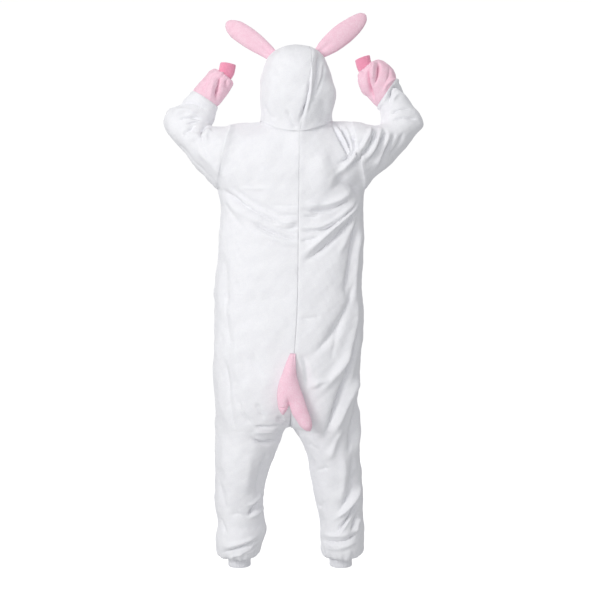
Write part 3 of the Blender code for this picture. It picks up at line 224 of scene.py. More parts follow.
LEFT_CUFF = table(RING, [
    (-0.1870, 0.1500, -0.2270, 0.1770, 0.044, 0.0260),
    (-0.1770, 0.1700, -0.2250, 0.1870, 0.044, 0.0250),
    (-0.1735, 0.1960, -0.2210, 0.2040, 0.044, 0.0240),
])
RIGHT_CUFF = table(RING, [
    (0.2230, 0.1700, 0.2590, 0.2030, 0.044, 0.0260),
    (0.2130, 0.1900, 0.2560, 0.2120, 0.044, 0.0250),
    (0.2080, 0.2110, 0.2530, 0.2270, 0.044, 0.0240),
])
ANKLE_CUFF_HEIGHTS = (-1.3605, -1.372, -1.385)
ANKLE_CUFF_HALF = (0.0355, 0.0415)
ANKLE_CUFF_SWELL = (1.03, 0.97, 1.0)  # its half sizes at each height, as shares

# The hood: a rounded form about a point inside it, its half sizes in each direction.
HOOD_MIDDLE = (0.019, -0.005, 0.100)
HOOD_HALF = {"x": 0.1145, "back": 0.128, "front": 0.116, "up": 0.149, "down": 0.400}
HOOD_FULLNESS = 2.35
HOOD_NECKING = 0.17  # share of its depth that the hood loses towards the neck seam
HOOD_NECKS_FROM = (0.075, 0.095)  # the height where that starts, and over how much it grows
HOOD_CROWN = 32.0  # degrees up the middle seam where a half's first column ends
# Its middle seam, as degrees up from the back of the hood. It wanders to the right and back.
HOOD_SEAM = table("turn x", [
    (-51, 0.0292),
    (-15, 0.0500),
    (15, 0.0615),
    (50, 0.0680),
    (80, 0.0560),
    (108, 0.0280),
    (131, 0.0120),
])
FACE_MIDDLE = (0.012, 0.088)
FACE_HALF = (0.080, 0.131)

# Ears and tail, stuffed: the middle line and half width of their outlines in the X-Z plane.
OUTLINE = "x z half_width"
LEFT_EAR = table(OUTLINE, [
    (-0.0560, 0.2180, 0.0200),
    (-0.0800, 0.2370, 0.0240),
    (-0.1080, 0.2580, 0.0290),
    (-0.1360, 0.2790, 0.0310),
    (-0.1640, 0.2990, 0.0300),
    (-0.1830, 0.3130, 0.0240),
    (-0.1975, 0.3240, 0.0130),
    (-0.2020, 0.3270, 0.0040),
])
RIGHT_EAR = table(OUTLINE, [
    (0.0900, 0.2230, 0.0190),
    (0.1100, 0.2400, 0.0260),
    (0.1370, 0.2620, 0.0320),
    (0.1650, 0.2860, 0.0340),
    (0.1930, 0.3090, 0.0310),
    (0.2160, 0.3300, 0.0250),
    (0.2330, 0.3465, 0.0150),
    (0.2390, 0.3520, 0.0050),
])
EAR_DEPTH = (-0.010, 0.022)
EAR_HALF_THICK = 0.017
# The tail's outline: its root, then the two points it parts into below the notch.
TAIL_ROOT = table("height left right", [
    (-0.706, 0.0010, 0.0170),
    (-0.724, -0.0070, 0.0176),
    (-0.742, -0.0141, 0.0182),
    (-0.765, -0.0225, 0.0205),
    (-0.790, -0.0320, 0.0263),
    (-0.812, -0.0365, 0.0330),
    (-0.832, -0.0379, 0.0406),
    (-0.857, -0.0362, 0.0486),
][::-1])
TAIL_NOTCH_X = -0.0021
TAIL_SHORT_POINT = table("height left right", [
    (-0.857, -0.0362, -0.0021),
    (-0.865, -0.0350, -0.0051),
    (-0.876, -0.0305, -0.0096),
    (-0.888, -0.0226, -0.0176),
][::-1])
TAIL_LONG_POINT = table("height left right", [
    (-0.857, -0.0021, 0.0486),
    (-0.865, 0.0009, 0.0516),
    (-0.885, 0.0068, 0.0585),
    (-0.903, 0.0188, 0.0651),
    (-0.920, 0.0295, 0.0675),
    (-0.930, 0.0397, 0.0651),
    (-0.937, 0.0507, 0.0611),
][::-1])
TAIL_HALF_THICK = 0.017
TAIL_POINT_FULLNESS = 0.8  # how full the two points are beside the root
TAIL_PARTS_FROM = 0.78  # share of the root's length where its form starts to part in two
TAIL_STAND_OFF = 0.0006


# The camera, and the photograph as it sees it
CAMERA_PLACE = (0.0173, -3.55, -0.43)
PHOTO_SIZE = 591
PHOTO_MIDDLE = PHOTO_SIZE / 2
HORIZON_RISE = 34  # how many pixels the horizon lies above the photograph's middle
PIXEL = 0.00315  # size of a pixel at the garment's middle plane

# Creases of the back, marked on the photograph. A group has the depth of the cloth that it lies
# on. Each crease runs along a curve through three points, given as their pixels across and down, and then
# has its half width and its height in millimetres. The height is below zero where the cloth sinks in.
BACK_MARKS = (
    (-0.13, [  # swags across the back
        (219, 185, 247, 207.5, 289, 228, 8, -18), (227, 182, 254, 203, 294, 220, 13, -10),
        (219, 196, 243, 214, 276, 231, 10, 5), (276, 226, 288, 229, 299, 225, 6, -8),
        (278, 221, 288, 223, 298, 220, 7, 6), (250, 220, 273, 233, 303, 241, 7.5, -14),
        (256, 217, 277, 228, 303, 235, 9, -6), (262, 233, 280, 241, 300, 246, 9, 5),
        (300, 241, 309, 240, 320, 237, 6, -9), (221, 197, 231, 213, 246, 232, 10, -4),
        (274, 214, 287, 215.5, 299, 215, 6, -6), (272, 205, 286, 205.5, 299, 205, 7, -4),
        (240, 187, 254, 188.5, 272, 188, 6, 3), (300, 207, 328, 210, 356, 193, 7, -13),
        (303, 201, 328, 204, 358, 186, 9, 10), (300, 216.5, 312, 216.5, 322, 214, 6, -7),
        (300, 223, 324, 226, 356, 198, 7, 8), (318, 231, 338, 222, 362, 196, 6, -16),
        (299, 230.5, 312, 231, 326, 229, 5, -9), (361, 198, 338, 224, 298, 260, 10, 17),
        (360, 206, 338, 235, 299, 265, 9, -17), (358, 214, 350, 233, 334, 262, 12, 8),
    ]),
    (-0.13, [  # long folds down the right side and over the seat
        (361, 213, 352, 252, 345, 302, 10, -20), (354, 262, 344, 316, 303, 362, 14, -14),
        (343, 312, 337, 336, 329, 366, 12, -5), (361, 222, 357, 264, 352, 312, 9, 11),
        (353.5, 282, 353, 345, 310, 400, 13, 16), (362, 330, 356, 360, 345, 388, 9, 6),
        (364, 258, 360, 320, 343, 386, 10, -24), (352, 362, 340, 398, 321, 444, 10, -24),
        (359, 374, 349, 402, 326, 446, 10, 12), (361, 388, 355, 424, 349, 458, 9, -18),
        (362, 400, 360, 430, 356, 462, 8, 8), (300, 318, 312, 317.5, 322, 316, 8, -4),
        (300, 352, 306, 368, 306, 392, 9, -9), (312, 388, 318, 382, 330, 380, 8, 7),
    ]),
    (-0.13, [  # soft folds down the left side
        (226, 282, 226, 318, 231, 350, 9, -5), (237, 318, 236, 352, 241, 392, 14, 7),
        (225, 355, 228, 392, 237, 448, 11, -9), (238, 398, 244, 413, 253, 426, 5, -8),
        (252, 350, 257, 367, 266, 376, 9, -6), (257, 401, 260, 410, 265, 419, 7, -6),
        (222, 250, 226, 285, 226, 315, 16, -5),
    ]),
    (-0.1, [  # under the seat and down the legs
        (253, 424, 267, 426, 282, 424, 6, -10), (252, 430.5, 266, 431, 280, 430, 8, 6),
        (250, 434, 264, 443, 281, 437, 7, -18), (276, 414, 283, 420, 290, 423, 8, -8),
        (250, 452, 249, 474, 243, 500, 14, 5), (266, 446, 262, 474, 254, 502, 14, -11),
        (248, 513, 254, 511, 264, 494, 7, -20), (246, 508, 256, 503, 265, 496, 6, 8),
        (248, 519, 256, 517, 264, 512, 8, 9), (230, 518, 240, 515, 250, 520, 7, -4),
        (220, 521, 223, 529, 227, 538, 6, -7), (217, 476, 222, 498, 229, 513, 12, -5),
        (344, 424, 335, 442, 329, 462, 10, 9), (352, 454, 353, 476, 349, 496, 10, -14),
        (342, 450, 344, 480, 340, 505, 12, 8), (357, 470, 352, 492, 337, 516, 9, -13),
        (362, 484, 351, 505, 331, 524, 7, 14), (361, 500, 352, 516, 335, 536, 7, -20),
        (358, 508, 347, 525, 336, 540, 5, 6), (361, 514, 356, 524, 352, 534, 5, -14),
        (362, 520, 359, 528, 357, 537, 6, 9), (316, 474, 322, 470, 331, 467, 6, -4),
        (319, 512, 322, 508, 326, 502, 7, -4), (308, 442, 313, 447, 321, 450, 8, -3),
    ]),
    (-0.08, [  # rolls of the leg hems
        (221, 555, 238, 548, 264, 541, 5, -12), (222, 549, 240, 543, 262, 537, 8, 8),
        (226, 559, 242, 553.5, 260, 548, 6, 7), (236, 557, 250, 551, 262, 547, 4, -6),
        (320, 543, 342, 541.5, 362, 532, 5, -13), (322, 537, 338, 536, 354, 532, 7, 8),
        (322, 548, 340, 547, 362, 540, 8, 8), (324, 547, 332, 548, 342, 546, 4, -6),
    ]),
    (-0.07, [  # folds that fan out from the right shoulder
        (331, 121, 341, 141, 350, 162, 5, -15), (335, 122, 343, 138, 351, 152, 4.5, 6),
        (339, 122, 346, 138, 351, 153, 4.5, -15), (344, 122, 349, 135, 353, 146, 6, 5),
        (351, 134, 353, 142, 354, 152, 5, -16), (370, 125, 364, 144, 332, 182, 8, 17),
        (363, 137, 354, 153, 332, 168, 7, -15), (373, 127, 369, 146, 344, 172, 7, -17),
        (382, 124, 377, 142, 362, 164, 8, 13), (386, 127, 379, 145, 364, 168, 7, -14),
        (391, 128, 384, 148, 372, 172, 8, 10), (396, 129, 388, 150, 377, 172, 8, -12),
        (404, 129, 400, 143, 388, 160, 9, -8), (330, 178, 350, 185, 368, 190, 27, -19),
        (327, 148, 322, 172, 328, 198, 30, 9), (328, 192, 336, 176, 348, 166, 9, 4),
    ]),
    (-0.05, [  # left shoulder and underarm
        (229, 112, 224, 150, 217, 192, 11, -4), (210, 122, 201, 130, 205, 146, 5, -12),
        (212, 128, 207, 135, 209, 146, 7, 7), (181, 136, 188, 130, 196, 124, 5, -11),
        (190, 142, 197, 136, 205, 132, 9, 6), (196, 150, 210, 162, 225, 183, 12, 7),
        (204, 142, 206, 152, 215, 166, 7, -5), (172, 137, 189, 157, 210, 176, 6, -7),
        (206, 172, 216, 184, 222, 196, 8, -5),
    ]),
    (0, [  # elbows
        (170, 109, 186, 101, 210, 113, 7, -16), (172, 118, 185, 110, 198, 115, 8, 8),
        (178, 121, 190, 118, 203, 120, 5, -12), (186, 127, 194, 123.5, 202, 121.5, 4, -6),
        (387, 109, 395, 86, 411, 98, 5.5, -20), (391, 108, 399, 94, 411, 104, 7, 6),
        (390, 117, 398, 111.5, 412, 110, 4.5, -8), (391, 122, 404, 118.5, 419, 120, 4.5, -9),
        (383, 94, 390, 82, 402, 80, 5, 7),
    ]),
    (0, [  # pink sleeve ends
        (216, 101, 218, 88, 220, 76, 4.5, -19), (211, 100, 212, 88, 217, 76, 7, 7),
        (229, 91, 226, 83, 229, 77, 5, -7), (201, 92, 207, 82, 214, 72, 6, -6),
        (370, 64, 368.5, 82, 377, 103, 5, -21), (378, 60, 378, 72, 373.5, 88, 4.5, -19),
        (374, 60, 373, 72, 372.5, 82, 5, 9), (389, 64, 389, 75, 384, 85, 6, -5),
        (361, 72, 363, 84, 368, 95, 6, 9),
    ]),
    (-0.12, [  # hood
        (309.5, 79, 307, 99, 298, 125, 4.5, -13), (312, 60, 310.5, 90, 304, 120, 4.5, 5),
        (319, 48, 319, 72, 312, 104, 8.5, -17), (325, 58, 323, 78, 315, 98, 5, -7),
        (331, 68, 330, 98, 325, 120, 13, 12), (286, 108, 291, 120, 298, 132, 7, -7),
        (272, 59, 281, 62, 292, 63, 8, -4), (268, 67, 276, 74, 284, 87, 9, -4),
        (262, 100, 268, 112, 278, 120, 9, -4),
    ]),
)
# The same kinds of creases on the front, where the photograph shows nothing. Their columns are x1 z1
# x2 z2 x3 z3 half_width height, in metres.
FRONT_FOLDS = np.array([
    # under the collar and across the chest
    (-0.200, -0.235, -0.135, -0.320, -0.040, -0.352, 0.012, 0.012),
    (0.205, -0.235, 0.120, -0.330, 0.034, -0.362, 0.012, 0.0135),
    (-0.190, -0.290, -0.120, -0.385, -0.045, -0.407, 0.011, -0.012),
    (0.195, -0.285, 0.110, -0.395, 0.030, -0.424, 0.011, -0.012),
    (-0.180, -0.330, -0.115, -0.425, -0.050, -0.452, 0.014, 0.009),
    (0.200, -0.250, 0.135, -0.300, 0.060, -0.318, 0.009, -0.009),
    (-0.205, -0.205, -0.150, -0.255, -0.085, -0.280, 0.009, -0.0075),
    (0.180, -0.350, 0.115, -0.450, 0.040, -0.470, 0.014, 0.009),
    (-0.120, -0.075, -0.090, -0.130, -0.035, -0.160, 0.012, -0.006),
    (0.145, -0.070, 0.110, -0.135, 0.045, -0.172, 0.012, -0.0075),
    # long folds from the waist to the legs
    (-0.195, -0.430, -0.190, -0.640, -0.120, -0.840, 0.018, -0.015),
    (-0.165, -0.480, -0.158, -0.640, -0.085, -0.800, 0.017, 0.012),
    (0.190, -0.420, 0.185, -0.630, 0.125, -0.830, 0.018, -0.0165),
    (0.160, -0.470, 0.152, -0.620, 0.090, -0.780, 0.016, 0.012),
    (-0.215, -0.560, -0.210, -0.760, -0.160, -0.930, 0.014, -0.0105),
    (0.208, -0.600, 0.195, -0.790, 0.150, -0.960, 0.014, -0.012),
    (-0.070, -0.560, -0.085, -0.660, -0.060, -0.740, 0.014, -0.0075),
    (0.060, -0.520, 0.080, -0.630, 0.055, -0.730, 0.014, -0.0075),
    # at the lap and down the legs
    (-0.150, -0.875, -0.085, -0.915, -0.022, -0.925, 0.011, -0.011),
    (-0.160, -0.900, -0.095, -0.945, -0.030, -0.957, 0.012, 0.007),
    (0.155, -0.870, 0.085, -0.912, 0.022, -0.926, 0.011, -0.011),
    (0.150, -0.898, 0.092, -0.940, 0.030, -0.955, 0.012, 0.007),
    (-0.140, -0.955, -0.090, -0.992, -0.045, -0.995, 0.010, -0.012),
    (0.135, -0.950, 0.090, -0.990, 0.048, -0.994, 0.010, -0.012),
    (-0.190, -1.020, -0.175, -1.090, -0.150, -1.150, 0.014, -0.0075),
    (0.185, -1.010, 0.165, -1.090, 0.150, -1.150, 0.014, -0.0075),
    (-0.210, -1.185, -0.165, -1.222, -0.105, -1.212, 0.011, -0.0135),
    (-0.215, -1.215, -0.170, -1.250, -0.115, -1.240, 0.011, 0.009),
    (0.212, -1.180, 0.165, -1.225, 0.110, -1.218, 0.011, -0.0135),
    (0.212, -1.212, 0.168, -1.252, 0.120, -1.246, 0.011, 0.009),
    (-0.205, -1.262, -0.165, -1.283, -0.120, -1.272, 0.009, -0.009),
    (0.205, -1.258, 0.165, -1.285, 0.118, -1.278, 0.009, -0.009),
    (-0.222, -1.325, -0.165, -1.318, -0.100, -1.330, 0.008, -0.012),
    (0.222, -1.322, 0.170, -1.330, 0.108, -1.318, 0.008, -0.012),
    # shoulders, underarms and elbows
    (0.180, -0.005, 0.178, -0.050, 0.150, -0.105, 0.008, -0.009),
    (0.205, -0.005, 0.202, -0.055, 0.170, -0.118, 0.009, 0.009),
    (0.235, -0.010, 0.225, -0.060, 0.185, -0.130, 0.009, -0.012),
    (0.262, -0.015, 0.250, -0.065, 0.205, -0.145, 0.010, 0.0105),
    (-0.170, -0.005, -0.165, -0.050, -0.140, -0.100, 0.009, -0.0075),
    (-0.215, -0.010, -0.212, -0.060, -0.180, -0.130, 0.009, -0.0105),
    (-0.240, -0.015, -0.236, -0.065, -0.195, -0.140, 0.010, 0.009),
    (-0.285, 0.000, -0.300, -0.030, -0.290, -0.070, 0.011, -0.009),
    (-0.312, 0.002, -0.330, -0.022, -0.328, -0.055, 0.012, 0.005),
    (0.318, -0.002, 0.330, -0.030, 0.318, -0.075, 0.011, -0.009),
    (0.345, 0.000, 0.358, -0.020, 0.352, -0.052, 0.012, 0.004),
    (-0.352, 0.050, -0.312, 0.060, -0.262, 0.042, 0.008, -0.0135),
    (-0.368, 0.022, -0.330, 0.036, -0.270, 0.020, 0.009, 0.009),
    (0.398, 0.066, 0.352, 0.062, 0.300, 0.048, 0.008, -0.0135),
    (0.412, 0.038, 0.360, 0.038, 0.305, 0.022, 0.009, 0.009),
    # pink sleeve ends and the hood
    (0.252, 0.178, 0.258, 0.130, 0.278, 0.085, 0.008, -0.015),
    (0.278, 0.195, 0.284, 0.155, 0.305, 0.115, 0.008, -0.012),
    (0.228, 0.165, 0.234, 0.125, 0.256, 0.080, 0.007, -0.009),
    (-0.212, 0.145, -0.228, 0.115, -0.245, 0.088, 0.007, -0.0135),
    (-0.232, 0.165, -0.252, 0.140, -0.272, 0.105, 0.007, -0.009),
    (-0.060, 0.160, -0.072, 0.110, -0.060, 0.050, 0.009, -0.006),
    (0.098, 0.160, 0.106, 0.110, 0.092, 0.050, 0.009, -0.006),
])
RIPPLES = ((0.120, 0.0016), (0.052, 0.0009), (0.024, 0.00035))  # length and height of the soft unevenness
PLEATS = ((9, 0.35), (13, 0.55), (19, 0.45), (24, 0.25))  # how many go round an edge, and their weight
HEM_GATHER = 0.0032  # height of the gathers above an ankle cuff
WRIST_GATHER = 0.0017  # height of the gathers below a wrist cuff
SLEEVE_BULGE = {"left": 0.0015, "right": 0.0035}  # swell of the white plush over the seam to the pink end
RIB_HEIGHT = 0.0011
ANKLE_RIB_SHARE = 0.6  # the ankle's ribs stand out less
RIBS_START = 0.003  # length over which the ribs rise from a cuff's seam
CUFF_EDGE_TURN = 0.0012  # how far a cuff's free edge turns in
FACE_HEM = (0.0014, 0.013)  # height and width of the stitched hem round the face
FACE_EDGE_TURN = 0.002
EAR_CELLS = (72, 40)  # along an ear and across it
EAR_PUCKER = 0.0006
EAR_PINCH = 0.35  # share of its fullness that an ear loses at its root
EAR_SINK = 0.002  # how far its root reaches into the hood's cloth
TAIL_CELLS = 48
TAIL_NOTCH_CELL = 18
TAIL_FOLDS = (0.2, 0.8)  # where two folds lie across the tail's root, as shares of its width
TAIL_FOLD_HALF = 0.11
TAIL_FOLD_DEPTH = 0.75
TAIL_CREASE = (0.30, 0.08, 0.4)  # place, half width and depth of the crease on its short point, as shares
PLACKET_HALF = 0.016
PLACKET_RISE = 0.0026
PLACKET_THICK = 0.002
STITCH_LINE = (0.78, 0.0006)  # place across the half width, and depth, of the placket's stitching
BUTTON_SIDES = 48
BUTTON_PROFILE = (  # share of the radius, and of the thickness
    (0.0, 0.62), (0.30, 0.62), (0.62, 0.64), (0.70, 0.80), (0.80, 0.98), (0.90, 1.0),
    (0.97, 0.90), (1.0, 0.65), (1.0, 0.35), (0.95, 0.08), (0.85, 0.0), (0.0, 0.0),
)
HOLE_PLACE = 0.22  # shares of a button's radius
HOLE_RADIUS = 0.09
THREAD_RADIUS = 0.055


def smooth(at, known, values):
    """The curve through the known values, cubic between them and without overshoot."""
    at = np.clip(np.asarray(at, float), known[0], known[-1])
    step = np.diff(known)
    rise = np.diff(values) / step
    slope = np.concatenate([rise[:1], np.zeros(len(known) - 2), rise[-1:]])
    both = rise[:-1] * rise[1:] > 0
    slope[1:-1][both] = 2 * rise[:-1][both] * rise[1:][both] / (rise[:-1] + rise[1:])[both]
    i = np.clip(np.searchsorted(known, at, side="right") - 1, 0, len(known) - 2)
    t = (at - known[i]) / step[i]
    return (
        values[i] * (1 + 2 * t) * (1 - t) ** 2
        + values[i + 1] * t * t * (3 - 2 * t)
        + step[i] * t * (1 - t) * (slope[i] * (1 - t) - slope[i + 1] * t)
    )


def unit(vectors):
    return vectors / np.maximum(np.linalg.norm(vectors, axis=-1, keepdims=True), 1e-12)


def smoothstep(t):
    t = np.clip(t, 0, 1)
    return t * t * (3 - 2 * t)


def change(height, span):
    """How far a change over the height has come: 0 below where it starts, 1 above its end."""
    start, rise = span
    return smoothstep((height - start) / rise)


def marked(groups):
    """Creases in metres, points to the millimetre, from marks on the photograph as the camera sees them."""
    x, away, z = CAMERA_PLACE[0], -CAMERA_PLACE[1], CAMERA_PLACE[2]
    made = []
    for depth, marks in groups:
        creases = np.array(marks, float)
        pixel = PIXEL * (away + depth) / away
        creases[:, 0:6:2] = x + (creases[:, 0:6:2] - PHOTO_MIDDLE) * pixel
        creases[:, 1:6:2] = z - (creases[:, 1:6:2] - (PHOTO_MIDDLE - HORIZON_RISE)) * pixel
        creases[:, :6] = np.round(creases[:, :6], 3)
        creases[:, 6:] /= 1000
        made.append(creases)
    return np.concatenate(made)


BACK_FOLDS = marked(BACK_MARKS)


def away_from_curve(x, z, fold):
    """Distance from each point to a fold's curve in the X-Z plane, and the share along the curve."""
    share = np.linspace(0, 1, 12)
    (x1, z1), (x2, z2), (x3, z3) = fold[0:2], fold[2:4], fold[4:6]
    cx, cz = (
        (1 - share) ** 2 * a + 2 * share * (1 - share) * (2 * b - (a + c) / 2) + share**2 * c
        for a, b, c in ((x1, x2, x3), (z1, z2, z3))
    )
    best, along = np.full(x.shape, np.inf), np.zeros(x.shape)
    for i in range(len(share) - 1):
        dx, dz = cx[i + 1] - cx[i], cz[i + 1] - cz[i]
        t = np.clip(((x - cx[i]) * dx + (z - cz[i]) * dz) / (dx * dx + dz * dz), 0, 1)
        away = np.hypot(x - cx[i] - t * dx, z - cz[i] - t * dz)
        along = np.where(away < best, share[i] + t * share[1], along)
        best = np.minimum(best, away)
    return best, along


def fold_height(points, normals):
    """How far the creases move each point of the cloth outwards: round ridges, sharper troughs."""
    x, z = points[..., 0], points[..., 2]
    total = np.zeros(x.shape)
    for folds, facing in ((BACK_FOLDS, -normals[..., 1]), (FRONT_FOLDS, normals[..., 1])):
        shown = smoothstep((facing + 0.3) / 0.6)
        for number, fold in enumerate(folds):
            half_width, height = fold[6:]
            reach = 3 * half_width
            near = (shown > 0) & (x > fold[0:6:2].min() - reach) & (x < fold[0:6:2].max() + reach)
            near &= (z > fold[1:6:2].min() - reach) & (z < fold[1:6:2].max() + reach)
            if near.any():
                away, along = away_from_curve(x[near], z[near], fold)
                ends = smoothstep(along / 0.3) * smoothstep((1 - along) / 0.3)
                uneven = 1 + 0.2 * np.sin(8 * along + 2.3 * number)
                across_it = away / (half_width * uneven)
                shape = np.exp(-1.1 * across_it**2) if height > 0 else np.exp(-1.6 * across_it**1.4)
                total[near] += height * uneven * shape * ends * shown[near]
    return total


def ripple(points, seed=7):
    """Soft unevenness of cloth that hangs."""
    random = np.random.default_rng(seed)
    total = np.zeros(points.shape[:-1])
    for length, height in RIPPLES:
        for _ in range(8):
            wave = unit(random.normal(size=3)) * 2 * math.pi / (length * random.uniform(0.75, 1.35))
            total += height * 0.4 * np.sin(points @ wave + random.uniform(0, 2 * math.pi))
    return total


def pleats(turn, seed):
    """Uneven small pleats round a gathered edge, from -1 in a trough to 1 on a crest."""
    random = np.random.default_rng(seed)
    wave = sum(
        weight * np.sin(count * turn + random.uniform(0, 2 * math.pi))
        for count, weight in PLEATS
    )
    return np.tanh(1.4 * wave)


def fine(values, at, axis, cyclic=False):
    """Values of a grid at places between its rows or columns, on a smooth curve through them."""
    values = np.moveaxis(values, axis, 0)
    count = len(values)
    if cyclic:
        values = np.concatenate([values[-1:], values, values[:2]])
        cell = np.clip(np.floor(at).astype(int), 0, count - 1)
    else:
        before, after = (3 * (a - b) + c for a, b, c in (values[:3], values[-1:-4:-1]))
        values = np.concatenate([before[None], values, after[None]])
        cell = np.clip(np.floor(at).astype(int), 0, count - 2)
    t = (at - cell).reshape((-1,) + (1,) * (values.ndim - 1))
    a, b, c, d = (values[cell + k] for k in range(4))
    made = b + 0.5 * t * (c - a + t * (2 * a - 5 * b + 4 * c - d + t * (3 * (b - c) + d - a)))
    return np.moveaxis(made, 0, axis)


def places(cells, factor=FINE):
    """Where the fine rows or columns lie in the guiding grid, with one more beside each seam."""
    at = np.linspace(0, cells, cells * factor + 1)
    return np.sort(np.concatenate([at, [0.45 / factor, cells - 0.45 / factor]]))


def finer(points, normals, rows=FINE, columns=FINE, cyclic=False):
    """The fine grid of a cloth piece and its normals."""
    row_at = places(points.shape[0] - 1, rows)
    if cyclic:
        column_at = np.arange(points.shape[1] * columns) / columns
    else:
        column_at = places(points.shape[1] - 1, columns)
    points, normals = (
        fine(fine(grid, row_at, 0), column_at, 1, cyclic) for grid in (points, normals)
    )
    return points, unit(normals)


def run_along(points, axis):
    """Length of cloth from the first row or column to each point."""
    steps = np.linalg.norm(np.diff(points, axis=axis), axis=-1)
    start = np.zeros_like(points[:1, :, 0] if axis == 0 else points[:, :1, 0])
    return np.concatenate([start, np.cumsum(steps, axis=axis)], axis=axis)


def seam_dip(points, sides):
    """The dip of the cloth at its sewn sides, with the small swell beside it."""
    down, over = run_along(points, 0), run_along(points, 1)
    away = {
        "first_row": down, "last_row": down[-1] - down,
        "first_column": over, "last_column": over[:, -1:] - over,
    }
    nearest = np.minimum.reduce([away[side] for side in sides])
    pucker = 1 + 0.25 * np.sin(down * 2 * math.pi / 0.023) * np.sin(over * 2 * math.pi / 0.031 + 1)
    swell = 0.0006 * np.exp(-(((nearest - 0.010) / 0.005) ** 2))
    return swell * pucker - SEAM_DEPTH * np.exp(-((nearest / SEAM_HALF) ** 2))


def linear(code):
    """A colour from its sRGB hex code, made linear."""
    values = [int(code[i:i + 2], 16) / 255 for i in (1, 3, 5)]
    return tuple(v / 12.92 if v <= 0.04045 else ((v + 0.055) / 1.055) ** 2.4 for v in values) + (1.0,)


def add(tree, kind, values=None, **settings):
    """Adds a node, sets its properties and fills its sockets with values or links."""
    made = tree.nodes.new(kind)
    for name, value in settings.items():
        setattr(made, name, value)
    for socket, value in (values or {}).items():
        if isinstance(value, bpy.types.NodeSocket):
            tree.links.new(value, made.inputs[socket])
        else:
            made.inputs[socket].default_value = value
    return made


def new_material(name, roughness, sheen=0.0, sheen_roughness=0.5):
    """An empty material with its shader, and object coordinates in metres."""
    made = bpy.data.materials.new(name)
    made.use_nodes = True
    tree = made.node_tree
    shader = tree.nodes["Principled BSDF"]
    shader.inputs["Roughness"].default_value = roughness
    shader.inputs["Sheen Weight"].default_value = sheen
    shader.inputs["Sheen Roughness"].default_value = sheen_roughness
    shader.inputs["Specular IOR Level"].default_value = 0.2
    return made, tree, shader, add(tree, "ShaderNodeTexCoord").outputs["Object"]


def plush(name, colour, shade, nap_shade):
    """Short-pile plush: tufts of 2 to 3 mm, painted shade at random spots deep in the pile, brushed patches
    of 15 to 40 mm, and a soft sheen.
    """
    made, tree, shader, where = new_material(name, 0.92, 0.2, 0.4)
    pile = add(tree, "ShaderNodeTexNoise", {"Vector": where, "Scale": 1 / 0.0022, "Detail": 3.0})
    tuft = add(tree, "ShaderNodeTexVoronoi", {"Vector": where, "Scale": 1 / 0.0034, "Randomness": 1.0})
    nap = add(tree, "ShaderNodeTexNoise", {
        "Vector": where, "Scale": 1 / 0.022, "Detail": 4.0, "Roughness": 0.6, "Distortion": 0.8})
    patch = add(tree, "ShaderNodeMapRange", {"Value": nap.outputs["Fac"], "From Min": 0.38, "From Max": 0.68})
    brushed = add(tree, "ShaderNodeMix", {
        "Factor": patch.outputs["Result"], "A": linear(colour), "B": linear(nap_shade)}, data_type="RGBA")
    # painted shade: where the pile noise is low, the colour is mixed up to half way to the shade colour, as
    # if in the pile's hollows
    pile_shade = add(tree, "ShaderNodeMapRange", {
        "Value": pile.outputs["Fac"], "From Min": 0.35, "From Max": 0.6, "To Min": 0.5, "To Max": 0.0})
    tinted = add(tree, "ShaderNodeMix", {
        "Factor": pile_shade.outputs["Result"], "A": brushed.outputs["Result"], "B": linear(shade)},
        data_type="RGBA")
    tree.links.new(tinted.outputs["Result"], shader.inputs["Base Color"])
    rough = add(tree, "ShaderNodeBump", {
        "Height": nap.outputs["Fac"], "Strength": 0.2, "Distance": 0.002})
    tufted = add(tree, "ShaderNodeBump", {
        "Height": tuft.outputs["Distance"], "Strength": 0.35, "Distance": 0.0012,
        "Normal": rough.outputs["Normal"]})
    piled = add(tree, "ShaderNodeBump", {
        "Height": pile.outputs["Fac"], "Strength": 0.5, "Distance": 0.001,
        "Normal": tufted.outputs["Normal"]})
    tree.links.new(piled.outputs["Normal"], shader.inputs["Normal"])
    return made


def rib_knit(name, colour, shade, stitch):
    """Rib knit: the ribs are modelled, and the material adds its stitches, random fuzz and painted shade that
    darkens the furrows.
    """
    made, tree, shader, where = new_material(name, 0.85, 0.3, 0.4)
    uv = add(tree, "ShaderNodeTexCoord").outputs["UV"]
    parts = add(tree, "ShaderNodeSeparateXYZ", {"Vector": uv})
    across_it = add(tree, "ShaderNodeMath", {0: parts.outputs["X"], 1: 2 * math.pi}, operation="MULTIPLY")
    rib = add(tree, "ShaderNodeMath", {0: across_it.outputs[0]}, operation="COSINE")
    slant = add(tree, "ShaderNodeMath", {0: rib.outputs[0]}, operation="ABSOLUTE")
    along = add(tree, "ShaderNodeMath", {
        0: parts.outputs["Y"], 1: 2 * math.pi / stitch, 2: slant.outputs[0]}, operation="MULTIPLY_ADD")
    loop = add(tree, "ShaderNodeMath", {0: along.outputs[0]}, operation="SINE")
    # painted shade: the colour darkens towards the shade colour in the furrows between the ribs
    furrow_shade = add(tree, "ShaderNodeMapRange", {
        "Value": rib.outputs[0], "From Min": -1.0, "From Max": 0.4, "To Min": 0.75, "To Max": 0.0})
    fuzz = add(tree, "ShaderNodeTexNoise", {"Vector": where, "Scale": 1 / 0.0016, "Detail": 3.0})
    # random fuzz tone, plus the painted shade of the furrows
    uneven = add(tree, "ShaderNodeMath", {
        0: fuzz.outputs["Fac"], 1: 0.3, 2: furrow_shade.outputs["Result"]},
        operation="MULTIPLY_ADD", use_clamp=True)
    mixed = add(tree, "ShaderNodeMix", {
        "Factor": uneven.outputs[0], "A": linear(colour), "B": linear(shade)}, data_type="RGBA")
    tree.links.new(mixed.outputs["Result"], shader.inputs["Base Color"])
    looped = add(tree, "ShaderNodeBump", {"Height": loop.outputs[0], "Strength": 0.5, "Distance": 0.0004})
    fuzzy = add(tree, "ShaderNodeBump", {
        "Height": fuzz.outputs["Fac"], "Strength": 0.4, "Distance": 0.0005,
        "Normal": looped.outputs["Normal"]})
    tree.links.new(fuzzy.outputs["Normal"], shader.inputs["Normal"])
    return made


